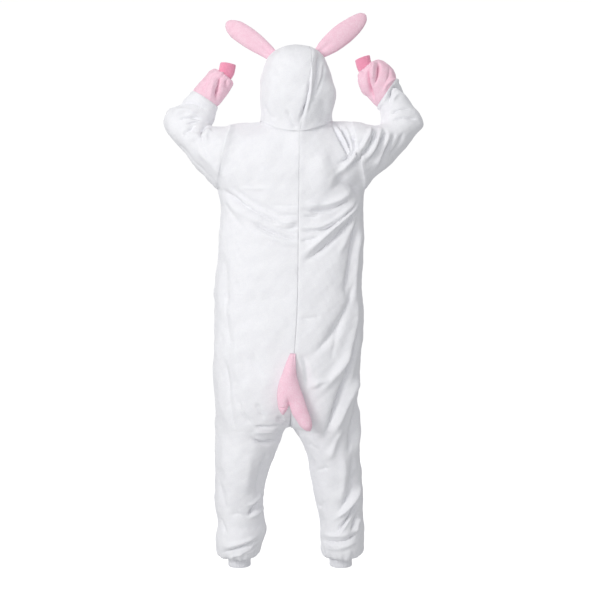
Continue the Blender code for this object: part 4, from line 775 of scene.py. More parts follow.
def plain_finish(name, colour, shade, roughness, grain, depth):
    """A finish with fine colour variation and grain."""
    made, tree, shader, where = new_material(name, roughness)
    noise = add(tree, "ShaderNodeTexNoise", {"Vector": where, "Scale": 1 / grain, "Detail": 3.0})
    mixed = add(tree, "ShaderNodeMix", {
        "Factor": noise.outputs["Fac"], "A": linear(colour), "B": linear(shade)}, data_type="RGBA")
    tree.links.new(mixed.outputs["Result"], shader.inputs["Base Color"])
    bump = add(tree, "ShaderNodeBump", {"Height": noise.outputs["Fac"], "Strength": 0.3, "Distance": depth})
    tree.links.new(bump.outputs["Normal"], shader.inputs["Normal"])
    return made


def placed(name, data):
    """A new object in the scene."""
    made = bpy.data.objects.new(name, data)
    bpy.context.scene.collection.objects.link(made)
    return made


def finished(name, mesh, finish, nodes):
    """A finished piece: its mesh, material, the body that it rides on and the solids that it replaces."""
    mesh.materials.append(finish)
    mesh.shade_smooth()
    made = placed(name, mesh)
    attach(made, "root")
    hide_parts(*nodes)
    return made


def piece(name, vertices, faces, finish, nodes, uv=None):
    """A finished piece from its points and faces."""
    mesh = bpy.data.meshes.new(name)
    mesh.from_pydata(np.asarray(vertices).tolist(), [], np.asarray(faces).tolist())
    if uv is not None:
        corners = np.zeros(len(mesh.loops), int)
        mesh.loops.foreach_get("vertex_index", corners)
        mesh.uv_layers.new(name="cloth").data.foreach_set("uv", uv[corners].ravel())
    return finished(name, mesh, finish, nodes)


def grid_faces(rows, columns, cyclic=False):
    """Quads of a grid of points."""
    across_it = columns if cyclic else columns - 1
    row, column = np.meshgrid(np.arange(rows - 1), np.arange(across_it), indexing="ij")
    after = (column + 1) % columns
    corners = (row * columns + column, row * columns + after,
               (row + 1) * columns + after, (row + 1) * columns + column)
    return np.stack([corner.ravel() for corner in corners], axis=-1)


def cloth(kind, node, points, normals, finish, thick=PLUSH, cyclic=False, uv=None):
    """A cloth piece as a shell that grows inwards from its grid."""
    faces = grid_faces(*points.shape[:2], cyclic)
    a, b, _, d = (points.reshape(-1, 3)[faces[len(faces) // 2][k]] for k in range(4))
    if np.cross(b - a, d - a) @ normals.reshape(-1, 3)[faces[len(faces) // 2][0]] < 0:
        faces = faces[:, ::-1]
    made = piece(f"{kind}_{node}", points.reshape(-1, 3), faces, finish, [node], uv)
    shell = made.modifiers.new("thickness", "SOLIDIFY")
    shell.thickness, shell.offset = thick, -1
    return made


def grid_normals(points, middle, cyclic=False):
    """Normals of a grid of cloth points, all on the side that faces away from the middle."""
    if cyclic:
        round_it = np.roll(points, -1, axis=1) - np.roll(points, 1, axis=1)
    else:
        round_it = np.gradient(points, axis=1)
    normals = unit(np.cross(np.gradient(points, axis=0), round_it))
    return normals * np.sign((normals * (points - middle)).sum())


def across(run, guide):
    """The guide directions, turned square to the run of a seam."""
    run, guide = unit(run), np.broadcast_to(np.asarray(guide, float), run.shape)
    return unit(guide - (guide * run).sum(-1, keepdims=True) * run)


def seam_normals(line, guide):
    """Normals of the cloth along a seam: at right angles to it, towards the guide direction."""
    return across(np.gradient(line, axis=0), guide)


def level_half(side_table, heights, facing, columns):
    """Rows of points round one half of the body at each height, from its middle seam to its side seam.

    Each section is deepest over the leg. Up the seat that place moves to the middle seam, and the
    columns gather on the side beyond it.
    """
    part = {name: smooth(heights, side_table["height"], side_table[name])[:, None] for name in side_table}
    seam = smooth(heights, MIDDLE_SEAM["height"], MIDDLE_SEAM[f"{facing}_x"])[:, None]
    height = heights[:, None]
    inner = np.where(height > CROTCH, seam, part["inner"])
    joined = change(height, LEGS_JOIN)
    over_leg = (part["outer"] + inner) / 2
    over_seat = seam + SEAT_SHARE * (1 - change(height, SEAT_JOINS)) * (part["outer"] - seam)
    deepest = (1 - joined) * over_leg + joined * over_seat
    reach = -part["back"] if facing == "back" else part["front"]
    power = 2 / (2 + TRUNK_SQUARER * change(height, TRUNK_SQUARES))
    gathered = math.pi / 2 * change(height, COLUMNS_GATHER)
    turn = gathered + (math.pi - gathered) * np.linspace(0, 1, columns + 1)
    turn[:, 0] = 0
    cosine, sine = np.abs(np.cos(turn)), np.maximum(np.sin(turn), 0)
    near = turn < math.pi / 2
    x = np.where(
        near, deepest + (inner - deepest) * cosine, deepest + (part["outer"] - deepest) * cosine**power
    )
    y = reach * np.where(near, part["share"] + (1 - part["share"]) * sine, sine**power)
    y[:, -1] = 0
    return np.stack([x, y, np.broadcast_to(height, x.shape)], axis=-1)


def relaxed(points, first_row, rounds):
    """The grid with its inner points from a row upwards eased towards their neighbours."""
    points = points.copy()
    for _ in range(rounds):
        mean = (points[:-2, 1:-1] + points[2:, 1:-1] + points[1:-1, :-2] + points[1:-1, 2:]) / 4
        points[1:-1, 1:-1][first_row:] += 0.6 * (mean - points[1:-1, 1:-1])[first_row:]
    return points


def neck_point(angle):
    """Points of the neck seam. The angle is 0 at the right shoulder and -90 degrees at the nape."""
    cosine, sine = np.cos(angle), np.sin(angle)
    low = np.where(sine < 0, NECK_HEIGHT["back"], NECK_HEIGHT["front"])
    return np.stack([
        NECK_MIDDLE[0] + NECK_HALF[0] * cosine,
        NECK_MIDDLE[1] + NECK_HALF[1] * sine,
        NECK_HEIGHT["side"] * cosine**2 + low * sine**2,
    ], axis=-1)


def neck_arc(side, facing):
    """The neck seam from the middle of back or front to the shoulder seam, with its normals."""
    seam_x = smooth(np.array([0.0]), MIDDLE_SEAM["height"], MIDDLE_SEAM[f"{facing}_x"])[0]
    sign = -1 if facing == "back" else 1
    middle = sign * math.acos((seam_x - NECK_MIDDLE[0]) / NECK_HALF[0])
    shoulder = math.asin(-NECK_MIDDLE[1] / NECK_HALF[1])
    shoulder = shoulder if side > 0 else sign * math.pi - shoulder
    angles = np.linspace(middle, shoulder, NECK_COLUMNS + 1)
    points = neck_point(angles)
    away = unit((points - (*NECK_MIDDLE, 0)) * (1, 1, 0)) * (1 + 1.2 * np.sin(angles) ** 4)[:, None]
    return points, across(neck_point(angles + 0.01) - neck_point(angles - 0.01), away + (0, 0, 1))


def ring(rings, at, turn):
    """Points of a sleeve's section. at runs along the sleeve, turn from its far edge over the back."""
    known = np.arange(len(rings["near_x"]), dtype=float)
    part = {name: smooth(at, known, rings[name]) for name in rings}
    middle_x, middle_z = (part["near_x"] + part["far_x"]) / 2, (part["near_z"] + part["far_z"]) / 2
    half_x, half_z = (part["far_x"] - part["near_x"]) / 2, (part["far_z"] - part["near_z"]) / 2
    return np.stack([
        middle_x[:, None] + half_x[:, None] * np.cos(turn),
        part["depth"][:, None] - part["half_depth"][:, None] * np.sin(turn),
        middle_z[:, None] + half_z[:, None] * np.cos(turn),
    ], axis=-1)


def ring_normals(rings, at, turn):
    """Normals that lie in the section's own plane."""
    run = ring(rings, at, turn + 0.01) - ring(rings, at, turn - 0.01)
    middle = (ring(rings, at, turn * 0) + ring(rings, at, turn * 0 + math.pi)) / 2
    return across(run, ring(rings, at, turn) - middle)


def coons(bottom, top, first, last):
    """A grid that fills four edges. bottom and top run along its columns, first and last up its rows."""
    u = np.linspace(0, 1, len(bottom))[None, :, None]
    v = np.linspace(0, 1, len(first))[:, None, None]
    ruled = (1 - v) * bottom[None] + v * top[None] + (1 - u) * first[:, None] + u * last[:, None]
    corners = (1 - v) * ((1 - u) * bottom[0] + u * bottom[-1]) + v * ((1 - u) * top[0] + u * top[-1])
    return ruled - corners


def armhole_turn(facing):
    """Where the armhole's points lie on the sleeve's first section."""
    sign = 1 if facing == "back" else -1
    return np.array([0.0]), sign * np.linspace(0, math.pi, YOKE_ROWS + 1)[None, :]


def yoke(side, facing, armpit_row, sleeve):
    """The part of a body piece above the underarm: up to neck seam, shoulder seam and armhole."""
    columns = len(armpit_row) - 1
    neck = neck_arc(side, facing)[0]
    sign = 1 if facing == "back" else -1
    armhole = ring(sleeve, *armhole_turn(facing))[0]
    tip, root = armhole[-1], neck[-1]
    share = np.linspace(0, 1, columns - NECK_COLUMNS + 1)[1:, None]
    top = np.concatenate([neck, root + (tip - root) * share])
    heights = np.linspace(ARMPIT, neck[0, 2], YOKE_ROWS + 1)
    depth = smooth(heights, YOKE_PROFILE["height"], YOKE_PROFILE[facing])
    depth = depth + (abs(neck[0, 1]) - depth[-1]) * smoothstep((heights - ARMPIT) / (neck[0, 2] - ARMPIT))
    middle = np.stack([
        smooth(heights, MIDDLE_SEAM["height"], MIDDLE_SEAM[f"{facing}_x"]), -sign * depth, heights
    ], axis=-1)
    middle[-1] = neck[0]
    armhole[0] = armpit_row[-1]
    return coons(armpit_row, top, middle, armhole)


def body_heights():
    """Heights of the rows from the leg hem to the underarm, closer where the shape turns fast."""
    heights = [np.linspace(low, high, count + 1)[:-1] for low, high, count in BODY_SPANS]
    return np.concatenate([*heights, [ARMPIT]])


def body_half(side, facing):
    """Grid and normals of one body piece: leg, seat and trunk in one, as it is cut."""
    side_table, sleeve = (RIGHT_HALF, RIGHT_SLEEVE) if side > 0 else (LEFT_HALF, LEFT_SLEEVE)
    heights = body_heights()
    lower = level_half(side_table, heights, facing, BODY_COLUMNS[facing])
    upper = yoke(side, facing, lower[-1], sleeve)
    points = relaxed(np.concatenate([lower, upper[1:]]), len(heights) - YOKE_EASING[0], YOKE_EASING[1])
    outwards = -1 if facing == "back" else 1
    core = points.mean(axis=1, keepdims=True) * (1, 0, 1)
    normals = grid_normals(points, core)
    above = len(heights)
    crotch = int(np.argmin(np.abs(heights - CROTCH)))
    leg = slice(0, crotch + 1)
    normals[leg, 0] = seam_normals(points[leg, 0], (-side, 0, 0))
    middle = points[crotch:, 0]
    run = unit(np.gradient(middle, axis=0))
    normals[crotch:, 0] = unit(np.stack([0 * run[:, 0], outwards * run[:, 2], -outwards * run[:, 1]], -1))
    normals[crotch, 0] = (0, 0, -1)
    normals[:above, -1] = seam_normals(points[:above, -1], (side, 0, 0))
    normals[-1, NECK_COLUMNS:] = seam_normals(points[-1, NECK_COLUMNS:], (0, 0, 1))
    normals[above:, -1] = ring_normals(sleeve, *armhole_turn(facing))[0, 1:]
    normals[-1, :NECK_COLUMNS + 1] = neck_arc(side, facing)[1]
    normals[0] = unit(normals[0] * (1, 1, 0))
    return points, normals


def sleeve_grid(rings, count):
    """Rings of a tube, the first at the first row of its table."""
    turn = np.linspace(0, 2 * math.pi, 2 * YOKE_ROWS + 1)[None, :-1]
    at = np.linspace(0, len(rings["near_x"]) - 1, count + 1)
    points = ring(rings, at, turn)
    normals = grid_normals(points, points.mean(axis=1, keepdims=True), cyclic=True)
    normals[[0, -1]] = ring_normals(rings, at[[0, -1]], turn)
    return points, normals


def hood_radius(direction):
    """Distance from the hood's middle to its cloth in a direction."""
    x, y, z = direction[..., 0], direction[..., 1], direction[..., 2]
    depth = np.where(y < 0, HOOD_HALF["back"], HOOD_HALF["front"])
    height = np.where(z > 0, HOOD_HALF["up"], HOOD_HALF["down"])
    total = sum(
        np.abs(value / half) ** HOOD_FULLNESS
        for value, half in ((x, HOOD_HALF["x"]), (y, depth), (z, height))
    )
    return total ** (-1 / HOOD_FULLNESS)


def hood_depth(z):
    """How deep the hood is at a height, as a share of its rounded form."""
    return 1 - HOOD_NECKING * smoothstep((HOOD_NECKS_FROM[0] - z) / HOOD_NECKS_FROM[1])


def hood_shaped(points, back=False):
    """Points of the rounded form moved to the hood's real depth, or back again."""
    depth = hood_depth(points[..., 2])
    points = points.copy()
    points[..., 1] = HOOD_MIDDLE[1] + (points[..., 1] - HOOD_MIDDLE[1]) * (1 / depth if back else depth)
    return points


def hood_seam(turn):
    """Points of the hood's middle seam, at degrees up from the back of the hood."""
    x = smooth(turn, HOOD_SEAM["turn"], HOOD_SEAM["x"])
    y, z = -np.cos(np.radians(turn)), np.sin(np.radians(turn))
    flat = np.stack([0 * y, y, z], axis=-1)
    aside = np.abs((x - HOOD_MIDDLE[0]) / HOOD_HALF["x"]) ** HOOD_FULLNESS
    reach = hood_radius(flat) * (1 - aside) ** (1 / HOOD_FULLNESS)
    return hood_shaped(np.stack([x, HOOD_MIDDLE[1] + reach * y, HOOD_MIDDLE[2] + reach * z], axis=-1))


def face_edge(side, count, chin, brow):
    """The free edge of the hood round the face, from chin to brow."""
    turn = np.linspace(-math.pi / 2, math.pi / 2, count + 1)
    x = FACE_MIDDLE[0] + side * FACE_HALF[0] * np.cos(turn) ** 0.85
    z = FACE_MIDDLE[1] + FACE_HALF[1] * np.sin(turn)
    height = np.where(z > HOOD_MIDDLE[2], HOOD_HALF["up"], HOOD_HALF["down"])
    left = 1 - np.abs((x - HOOD_MIDDLE[0]) / HOOD_HALF["x"]) ** HOOD_FULLNESS
    left = left - np.abs((z - HOOD_MIDDLE[2]) / height) ** HOOD_FULLNESS
    y = HOOD_MIDDLE[1] + HOOD_HALF["front"] * left ** (1 / HOOD_FULLNESS)
    edge = hood_shaped(np.stack([x, y, z], axis=-1))
    share = np.linspace(0, 1, count + 1)[:, None]
    near_chin, near_brow = smoothstep(1 - share / 0.4), smoothstep(1 - (1 - share) / 0.4)
    return edge + (chin - edge[0]) * near_chin + (brow - edge[-1]) * near_brow


def hood_half(side):
    """Grid and normals of one hood piece, from the neck seam up to the middle seam and the face."""
    middle = np.array(HOOD_MIDDLE)
    back, front = neck_arc(side, "back"), neck_arc(side, "front")
    bottom, bottom_normals = (np.concatenate([b, f[-2::-1]]) for b, f in zip(back, front))
    columns = len(bottom) - 1
    nape, brow = HOOD_SEAM["turn"][0], HOOD_SEAM["turn"][-1]
    first = hood_seam(np.linspace(nape, HOOD_CROWN, HOOD_ROWS + 1))
    top = hood_seam(np.linspace(HOOD_CROWN, brow, columns + 1))
    first[0] = bottom[0]
    edges = [bottom, top, first, face_edge(side, HOOD_ROWS, bottom[-1], top[-1])]
    edges = [hood_shaped(edge, back=True) for edge in edges]
    fits = [
        np.linalg.norm(edge - middle, axis=-1, keepdims=True) / hood_radius(unit(edge - middle))[:, None]
        for edge in edges
    ]
    direction = unit(coons(*(unit(edge - middle) for edge in edges)))
    points = hood_shaped(middle + direction * hood_radius(direction)[..., None] * coons(*fits))
    normals = grid_normals(points, middle)
    normals[:, 0] = seam_normals(points[:, 0], unit(points[:, 0] - middle) * (0, 1, 1))
    normals[-1] = seam_normals(points[-1], unit(points[-1] - middle) * (0, 1, 1))
    normals[0] = bottom_normals
    return points, normals


def lobe(outline, rows, columns):
    """Points across a stuffed outline in the X-Z plane, row by row, and how full each point is."""
    known = np.arange(len(outline["x"]), dtype=float)
    at = np.linspace(0, known[-1], rows + 1)
    x, z, half = (smooth(at, known, outline[name]) for name in ("x", "z", "half_width"))
    run = unit(np.stack([np.gradient(x), np.gradient(z)], -1))
    share = np.sin(np.linspace(-math.pi / 2, math.pi / 2, columns + 1))
    points = np.zeros((rows + 1, columns + 1, 3))
    points[..., 0] = x[:, None] + run[:, 1:] * half[:, None] * share
    points[..., 2] = z[:, None] - run[:, :1] * half[:, None] * share
    return points, np.sqrt(np.maximum(1 - share**2, 0)) * (half / half.max())[:, None]


SEWN = ("first_row", "last_row", "first_column", "last_column")


def hem_gathers(points, side):
    """Gathers of a ballooned leg hem above its ankle cuff."""
    half = RIGHT_HALF if side > 0 else LEFT_HALF
    middle = (half["outer"][0] + half["inner"][0]) / 2
    turn = np.arctan2(points[..., 1], points[..., 0] - middle)
    above = points[..., 2] - LEG_HEM
    fade = smoothstep(above / 0.006) * (1 - smoothstep((above - 0.010) / 0.045))
    return HEM_GATHER * fade * pleats(turn, 11 + side)


def evened(grid, share, rounds, axis):
    """A grid whose points ease towards the middle of their neighbours along an axis, each by its share."""
    grid, share = np.moveaxis(grid, axis, 0), np.moveaxis(share[..., None], axis, 0)
    for _ in range(rounds):
        grid[1:-1] += share[1:-1] * ((grid[:-2] + grid[2:]) / 2 - grid[1:-1])
    return np.moveaxis(grid, 0, axis)


def even_body(points, normals):
    """A body grid without the crowded columns beside the fork's seam and the step under the underarm."""
    beside_seam = 1 - smoothstep((np.arange(points.shape[1]) - FORK_COLUMNS[0]) / FORK_COLUMNS[1])
    fork, chest = (
        0.5 * np.exp(-(((points[..., 2] - height) / reach) ** 2))
        for height, reach in (FORK_CROWDS, CHEST_STEP)
    )
    points, normals = (
        evened(evened(grid, fork * beside_seam, FORK_ROUNDS, 1), chest, CHEST_ROUNDS, 0)
        for grid in (points, normals)
    )
    return points, unit(normals)


def make_body(white):
    """The four body pieces, by the side that they face and left or right."""
    made = {}
    for side, hand in ((-1, "left"), (1, "right")):
        for facing in ("back", "front"):
            points, normals = even_body(*finer(*body_half(side, facing), rows=3))
            height = fold_height(points, normals) + ripple(points)
            if facing == "front":  # the stiff placket holds the cloth under it flat
                seam = smooth(points[..., 2], MIDDLE_SEAM["height"], MIDDLE_SEAM["front_x"])
                beside = smoothstep((np.abs(points[..., 0] - seam) - 0.020) / 0.035)
                below = smoothstep((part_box("placket")[0][2] - points[..., 2]) / 0.05)
                height *= np.maximum(beside, below)
            height += hem_gathers(points, side) + seam_dip(points, SEWN)
            points = points + height[..., None] * normals
            made[facing, hand] = cloth(
                "plush", f"{facing}_{hand}", points, normals, white)
    return made


def make_sleeves(white, pink):
    """White sleeves, and their pale pink ends gathered into the cuffs."""
    for hand, sleeve, end, seed in (
        ("left", LEFT_SLEEVE, LEFT_END, 3),
        ("right", RIGHT_SLEEVE, RIGHT_END, 5),
    ):
        for name, rings, count, finish, slot, held in (
            (f"sleeve_{hand}", sleeve, 36, white, "white_plush", "hung"),
            (f"sleeve_end_{hand}", end, 18, pink, "pale_pink_plush", "gathered"),
        ):
            points, normals = finer(*sleeve_grid(rings, count), rows=3, cyclic=True)
            height = fold_height(points, normals) + ripple(points) + seam_dip(points, SEWN[:2])
            down = run_along(points, 0)
            left = down[-1:] - down
            if rings is sleeve:  # the white plush bulges over the seam to the pink end
                height += SLEEVE_BULGE[hand] * np.exp(-(((left - 0.007) / 0.006) ** 2))
            else:
                turn = np.linspace(0, 2 * math.pi, points.shape[1], endpoint=False)[None, :]
                fade = smoothstep(left / 0.006) * (1 - smoothstep((left - 0.008) / 0.050))
                height += WRIST_GATHER * fade * pleats(turn, seed)
            points = points + height[..., None] * normals
            cloth("plush", name, points, normals, finish, cyclic=True)


def rib_cuff(node, points, turn, count, finish, rib_share=1.0, unevenness=0.0, dip=0.0):
    """A knitted cuff: rounded ribs with narrow furrows from its seam on, and its free edge turned in."""
    normals = unit(points - points.mean(axis=1, keepdims=True))
    down = run_along(points, 0)
    ribs = RIB_HEIGHT * np.tanh(1.6 * np.cos(count * turn) + 0.5)
    height = rib_share * ribs * smoothstep(down / RIBS_START) + unevenness * ripple(points)
    height -= dip * np.exp(-((down / SEAM_HALF) ** 2))
    height -= CUFF_EDGE_TURN * smoothstep(1 - (down[-1:] - down) / RIBS_START)
    points = points + height[..., None] * normals
    uv = np.stack(np.broadcast_arrays(turn * count / (2 * math.pi), down), axis=-1).reshape(-1, 2)
    cloth("rib", node, points, normals, finish, RIB_CLOTH, True, uv)


def make_wrist_cuffs(hot_pink):
    turn = np.linspace(0, 2 * math.pi, RIBS_AT_WRIST * 6, endpoint=False)[None, :]
    for hand, cuff in (("left", LEFT_CUFF), ("right", RIGHT_CUFF)):
        points = ring(cuff, np.linspace(0, 2, 30), turn)
        rib_cuff(f"wrist_cuff_{hand}", points, turn, RIBS_AT_WRIST, hot_pink,
                 unevenness=0.6, dip=SEAM_DEPTH)


def make_ankle_cuffs(white_rib):
    turn = np.linspace(0, 2 * math.pi, RIBS_AT_ANKLE * 6, endpoint=False)[None, :]
    heights = np.linspace(ANKLE_CUFF_HEIGHTS[0], ANKLE_CUFF_HEIGHTS[-1], 22)
    swell = smooth(-heights, -np.array(ANKLE_CUFF_HEIGHTS), np.array(ANKLE_CUFF_SWELL))[:, None]
    for hand, half in (("left", LEFT_HALF), ("right", RIGHT_HALF)):
        x = (half["outer"][0] + half["inner"][0]) / 2 + swell * ANKLE_CUFF_HALF[0] * np.cos(turn)
        y = swell * ANKLE_CUFF_HALF[1] * np.sin(turn)
        points = np.stack([x, y, np.broadcast_to(heights[:, None], x.shape)], axis=-1)
        rib_cuff(f"ankle_cuff_{hand}", points, turn, RIBS_AT_ANKLE, white_rib,
                 rib_share=ANKLE_RIB_SHARE)


def make_hood(white):
    """Two hood pieces, with a stitched hem round the face."""
    made = []
    for side, hand in ((-1, "left"), (1, "right")):
        points, normals = finer(*hood_half(side), columns=6)
        height = fold_height(points, normals) + ripple(points) + seam_dip(points, SEWN[:3])
        over = run_along(points, 1)
        left = over[:, -1:] - over
        height += FACE_HEM[0] * (1 - smoothstep((left - FACE_HEM[1]) / 0.004))
        height -= FACE_EDGE_TURN * smoothstep(1 - left / 0.005)
        points = points + height[..., None] * normals
        made.append(cloth("plush", f"hood_{hand}", points, normals, white))
    return made


def tree_of(made):
    """A search tree over the faces of a made piece."""
    mesh = made.data
    return BVHTree.FromPolygons([v.co for v in mesh.vertices], [list(p.vertices) for p in mesh.polygons])


def make_ears(hoods, pink):
    """Two stuffed ears, each a closed form with its seam round the rim, sewn to the hood."""
    rows, columns = EAR_CELLS
    trees = [tree_of(made) for made in hoods]
    middle = np.array(HOOD_MIDDLE)
    random = np.random.default_rng(4)
    for hand, outline in (("left", LEFT_EAR), ("right", RIGHT_EAR)):
        flat, full = lobe(outline, rows, columns)
        along = np.linspace(0, 1, rows + 1)[:, None]
        flat[..., 1] = EAR_DEPTH[0] + (EAR_DEPTH[1] - EAR_DEPTH[0]) * smoothstep(along)
        across_ear = np.sin(np.linspace(-math.pi / 2, math.pi / 2, columns + 1))[None, :]
        share = np.abs(across_ear)
        layers = []
        for sign in (-1, 1):
            wave = sum(np.sin(count * 2 * math.pi * along + random.uniform(0, 7)) for count in (7, 11, 17))
            pucker = EAR_PUCKER * wave * share**3 * (1 - share**8)
            pinch = EAR_PINCH * np.exp(-((across_ear / 0.3) ** 2)) * (1 - smoothstep(along / 0.4))
            rise = (EAR_HALF_THICK + PLUSH / 2) * full**0.8 * (1 - pinch) + pucker
            layers.append(flat + np.array([0, sign, 0]) * rise[..., None])
        points = np.array(layers)
        for layer in points:
            for column in range(columns + 1):
                away = Vector(unit(layer[0, column] - middle))
                hits = [tree.ray_cast(Vector(middle) + away, -away)[3] for tree in trees]
                reach = 1 - min(distance for distance in hits if distance is not None) - EAR_SINK
                move = middle + np.array(away) * reach - layer[0, column]
                layer[:, column] += move * (1 - smoothstep(along / 0.14))
        index = np.arange((rows + 1) * (columns + 1)).reshape(rows + 1, columns + 1)
        other = index + index.size
        other[:, [0, -1]] = index[:, [0, -1]]
        faces = []
        for grid, turned in ((index, True), (other, False)):
            quads = np.stack([grid[:-1, :-1], grid[:-1, 1:], grid[1:, 1:], grid[1:, :-1]], axis=-1)
            quads = quads.reshape(-1, 4)
            faces += (quads[:, ::-1] if turned else quads).tolist()
        for row in (0, -1):
            rim = list(index[row]) + list(other[row, -2:0:-1])
            faces.append([int(k) for k in (rim if row == 0 else rim[::-1])])
        used, compact = np.unique(np.concatenate([np.ravel(face) for face in faces]), return_inverse=True)
        vertices, at, packed = points.reshape(-1, 3)[used], 0, []
        for face in faces:
            packed.append(compact[at:at + len(face)].tolist())
            at += len(face)
        mesh = bpy.data.meshes.new(f"ear_{hand}")
        mesh.from_pydata(vertices.tolist(), [], packed)
        halves = (f"ear_{hand}_back", f"ear_{hand}_front")
        finished(f"stuffed_ear_{hand}", mesh, pink, halves)


def surface_y(trees, x, z, side):
    """Y of the outermost cloth at a point of the X-Z plane, from behind (-1) or from the front (1)."""
    hits = []
    for tree in trees:
        place = tree.ray_cast(Vector((x, side * 1.0, z)), Vector((0, -side, 0)))[0]
        if place is not None:
            hits.append(place.y)
    return (max(hits) if side > 0 else min(hits)) if hits else math.nan


def tail_block(outline, rows, cells, notch_cell):
    """Part of the tail between two heights: its points in the X-Z plane and how full each is."""
    heights = np.linspace(outline["height"][-1], outline["height"][0], rows + 1)
    left, right = (smooth(heights, outline["height"], outline[edge]) for edge in ("left", "right"))
    down = np.linspace(0, 1, rows + 1)[:, None]
    if outline is TAIL_ROOT:
        parting = (TAIL_NOTCH_X - left[-1]) / (right[-1] - left[-1])
        share = np.concatenate([
            np.linspace(0, parting, notch_cell + 1), np.linspace(parting, 1, cells - notch_cell + 1)[1:]])
        whole = 1 - (2 * share - 1) ** 2
        parted = np.where(
            share < parting, 1 - (2 * share / parting - 1) ** 2,
            1 - (2 * (share - parting) / (1 - parting) - 1) ** 2)
        low = smoothstep((down - TAIL_PARTS_FROM) / (1 - TAIL_PARTS_FROM))
        full = ((1 - low) * whole + low * parted * TAIL_POINT_FULLNESS) * smoothstep(down / 0.05)
        folds = sum(np.exp(-(((share - place) / TAIL_FOLD_HALF) ** 2)) for place in TAIL_FOLDS)
        pinched = TAIL_FOLD_DEPTH * folds * (1 - smoothstep(down / 0.32))
        full = full * (1 - pinched)  # the root is pinched into a ridge
    else:
        share = np.linspace(0, 1, cells + 1)
        full = TAIL_POINT_FULLNESS * (1 - (2 * share - 1) ** 2) * smoothstep((1 - down) / 0.25) ** 0.5
        if outline is TAIL_SHORT_POINT:
            place, half, depth = TAIL_CREASE
            full = full * (1 - depth * np.exp(-(((down - place) / half) ** 2)))
    x = left[:, None] + (right - left)[:, None] * share
    full = np.maximum(full, 0) * (0.25 + 0.75 * smoothstep((right - left) / 0.035))[:, None]
    return x, np.broadcast_to(heights[:, None], x.shape), full


def make_tail(backs, pink):
    """The stuffed tail with its two points, hanging from the middle seam."""
    cells, notch_cell = TAIL_CELLS, TAIL_NOTCH_CELL
    trees = [tree_of(made) for made in backs]
    blocks = [
        tail_block(TAIL_ROOT, 54, cells, notch_cell),
        tail_block(TAIL_SHORT_POINT, 36, notch_cell, notch_cell),
        tail_block(TAIL_LONG_POINT, 36, cells - notch_cell, notch_cell),
    ]
    seat_heights = np.linspace(TAIL_ROOT["height"][-1], TAIL_LONG_POINT["height"][0], 60)
    x, z = (np.concatenate([part[k].ravel() for part in blocks]) for k in (0, 1))
    seat = []
    for height in seat_heights:
        near = x[np.abs(z - height) < 0.004]
        places_across = np.linspace(near.min(), near.max(), 12)
        seat.append(min(surface_y(trees, at_x, height, -1) for at_x in places_across))
    seat = np.minimum.accumulate(seat)
    thick = TAIL_HALF_THICK * (0.2 + 0.8 * smoothstep((seat_heights[0] - seat_heights) / 0.06))
    tail = bmesh.new()
    for outwards in (-1, 1):
        for x, z, full in blocks:
            y = np.interp(-z, -seat_heights, seat - TAIL_STAND_OFF - thick)
            rise = full**0.7 * np.interp(-z, -seat_heights, thick)
            points = np.stack([x, y + outwards * rise, z], axis=-1)
            grid = [[tail.verts.new(p) for p in row] for row in points.tolist()]
            for r in range(len(grid) - 1):
                for c in range(len(grid[0]) - 1):
                    corners = [grid[r][c], grid[r][c + 1], grid[r + 1][c + 1], grid[r + 1][c]]
                    tail.faces.new(corners[::outwards])
    bmesh.ops.remove_doubles(tail, verts=tail.verts, dist=2e-5)
    bmesh.ops.recalc_face_normals(tail, faces=tail.faces)
    mesh = bpy.data.meshes.new("tail")
    tail.to_mesh(mesh)
    tail.free()
    finished("stuffed_tail", mesh, pink, ("tail_outer", "tail_under"))


def make_placket(fronts, white):
    """The button placket: a folded strip over the middle of the front."""
    trees = [tree_of(made) for made in fronts]
    low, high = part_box("placket")
    heights = np.linspace(low[2], high[2], 170)
    seam = smooth(heights, MIDDLE_SEAM["height"], MIDDLE_SEAM["front_x"])
    share = np.sin(np.linspace(-math.pi / 2, math.pi / 2, 15))
    y = np.array([[surface_y(trees, at + s * PLACKET_HALF, height, 1) for s in (-1, -0.5, 0, 0.5, 1)]
                  for height, at in zip(heights, seam)])
    y = y.max(axis=1)
    padded = np.pad(y, 1, mode="edge")
    y = np.max([padded[k:k + len(y)] for k in range(3)], axis=0)
    y = np.convolve(np.pad(y, 2, mode="edge"), np.full(5, 1 / 5), mode="valid")
    stitched = STITCH_LINE[1] * (np.abs(np.abs(share) - STITCH_LINE[0]) < 0.02)
    points = np.stack([
        seam[:, None] + share * PLACKET_HALF,
        y[:, None] + PLACKET_RISE - 0.0012 * np.abs(share) ** 6 - stitched,
        np.broadcast_to(heights[:, None], (len(heights), len(share))),
    ], axis=-1)
    normals = np.broadcast_to([0.0, 1.0, 0.0], points.shape)
    return cloth("plush", "placket", points, normals, white, PLACKET_THICK)


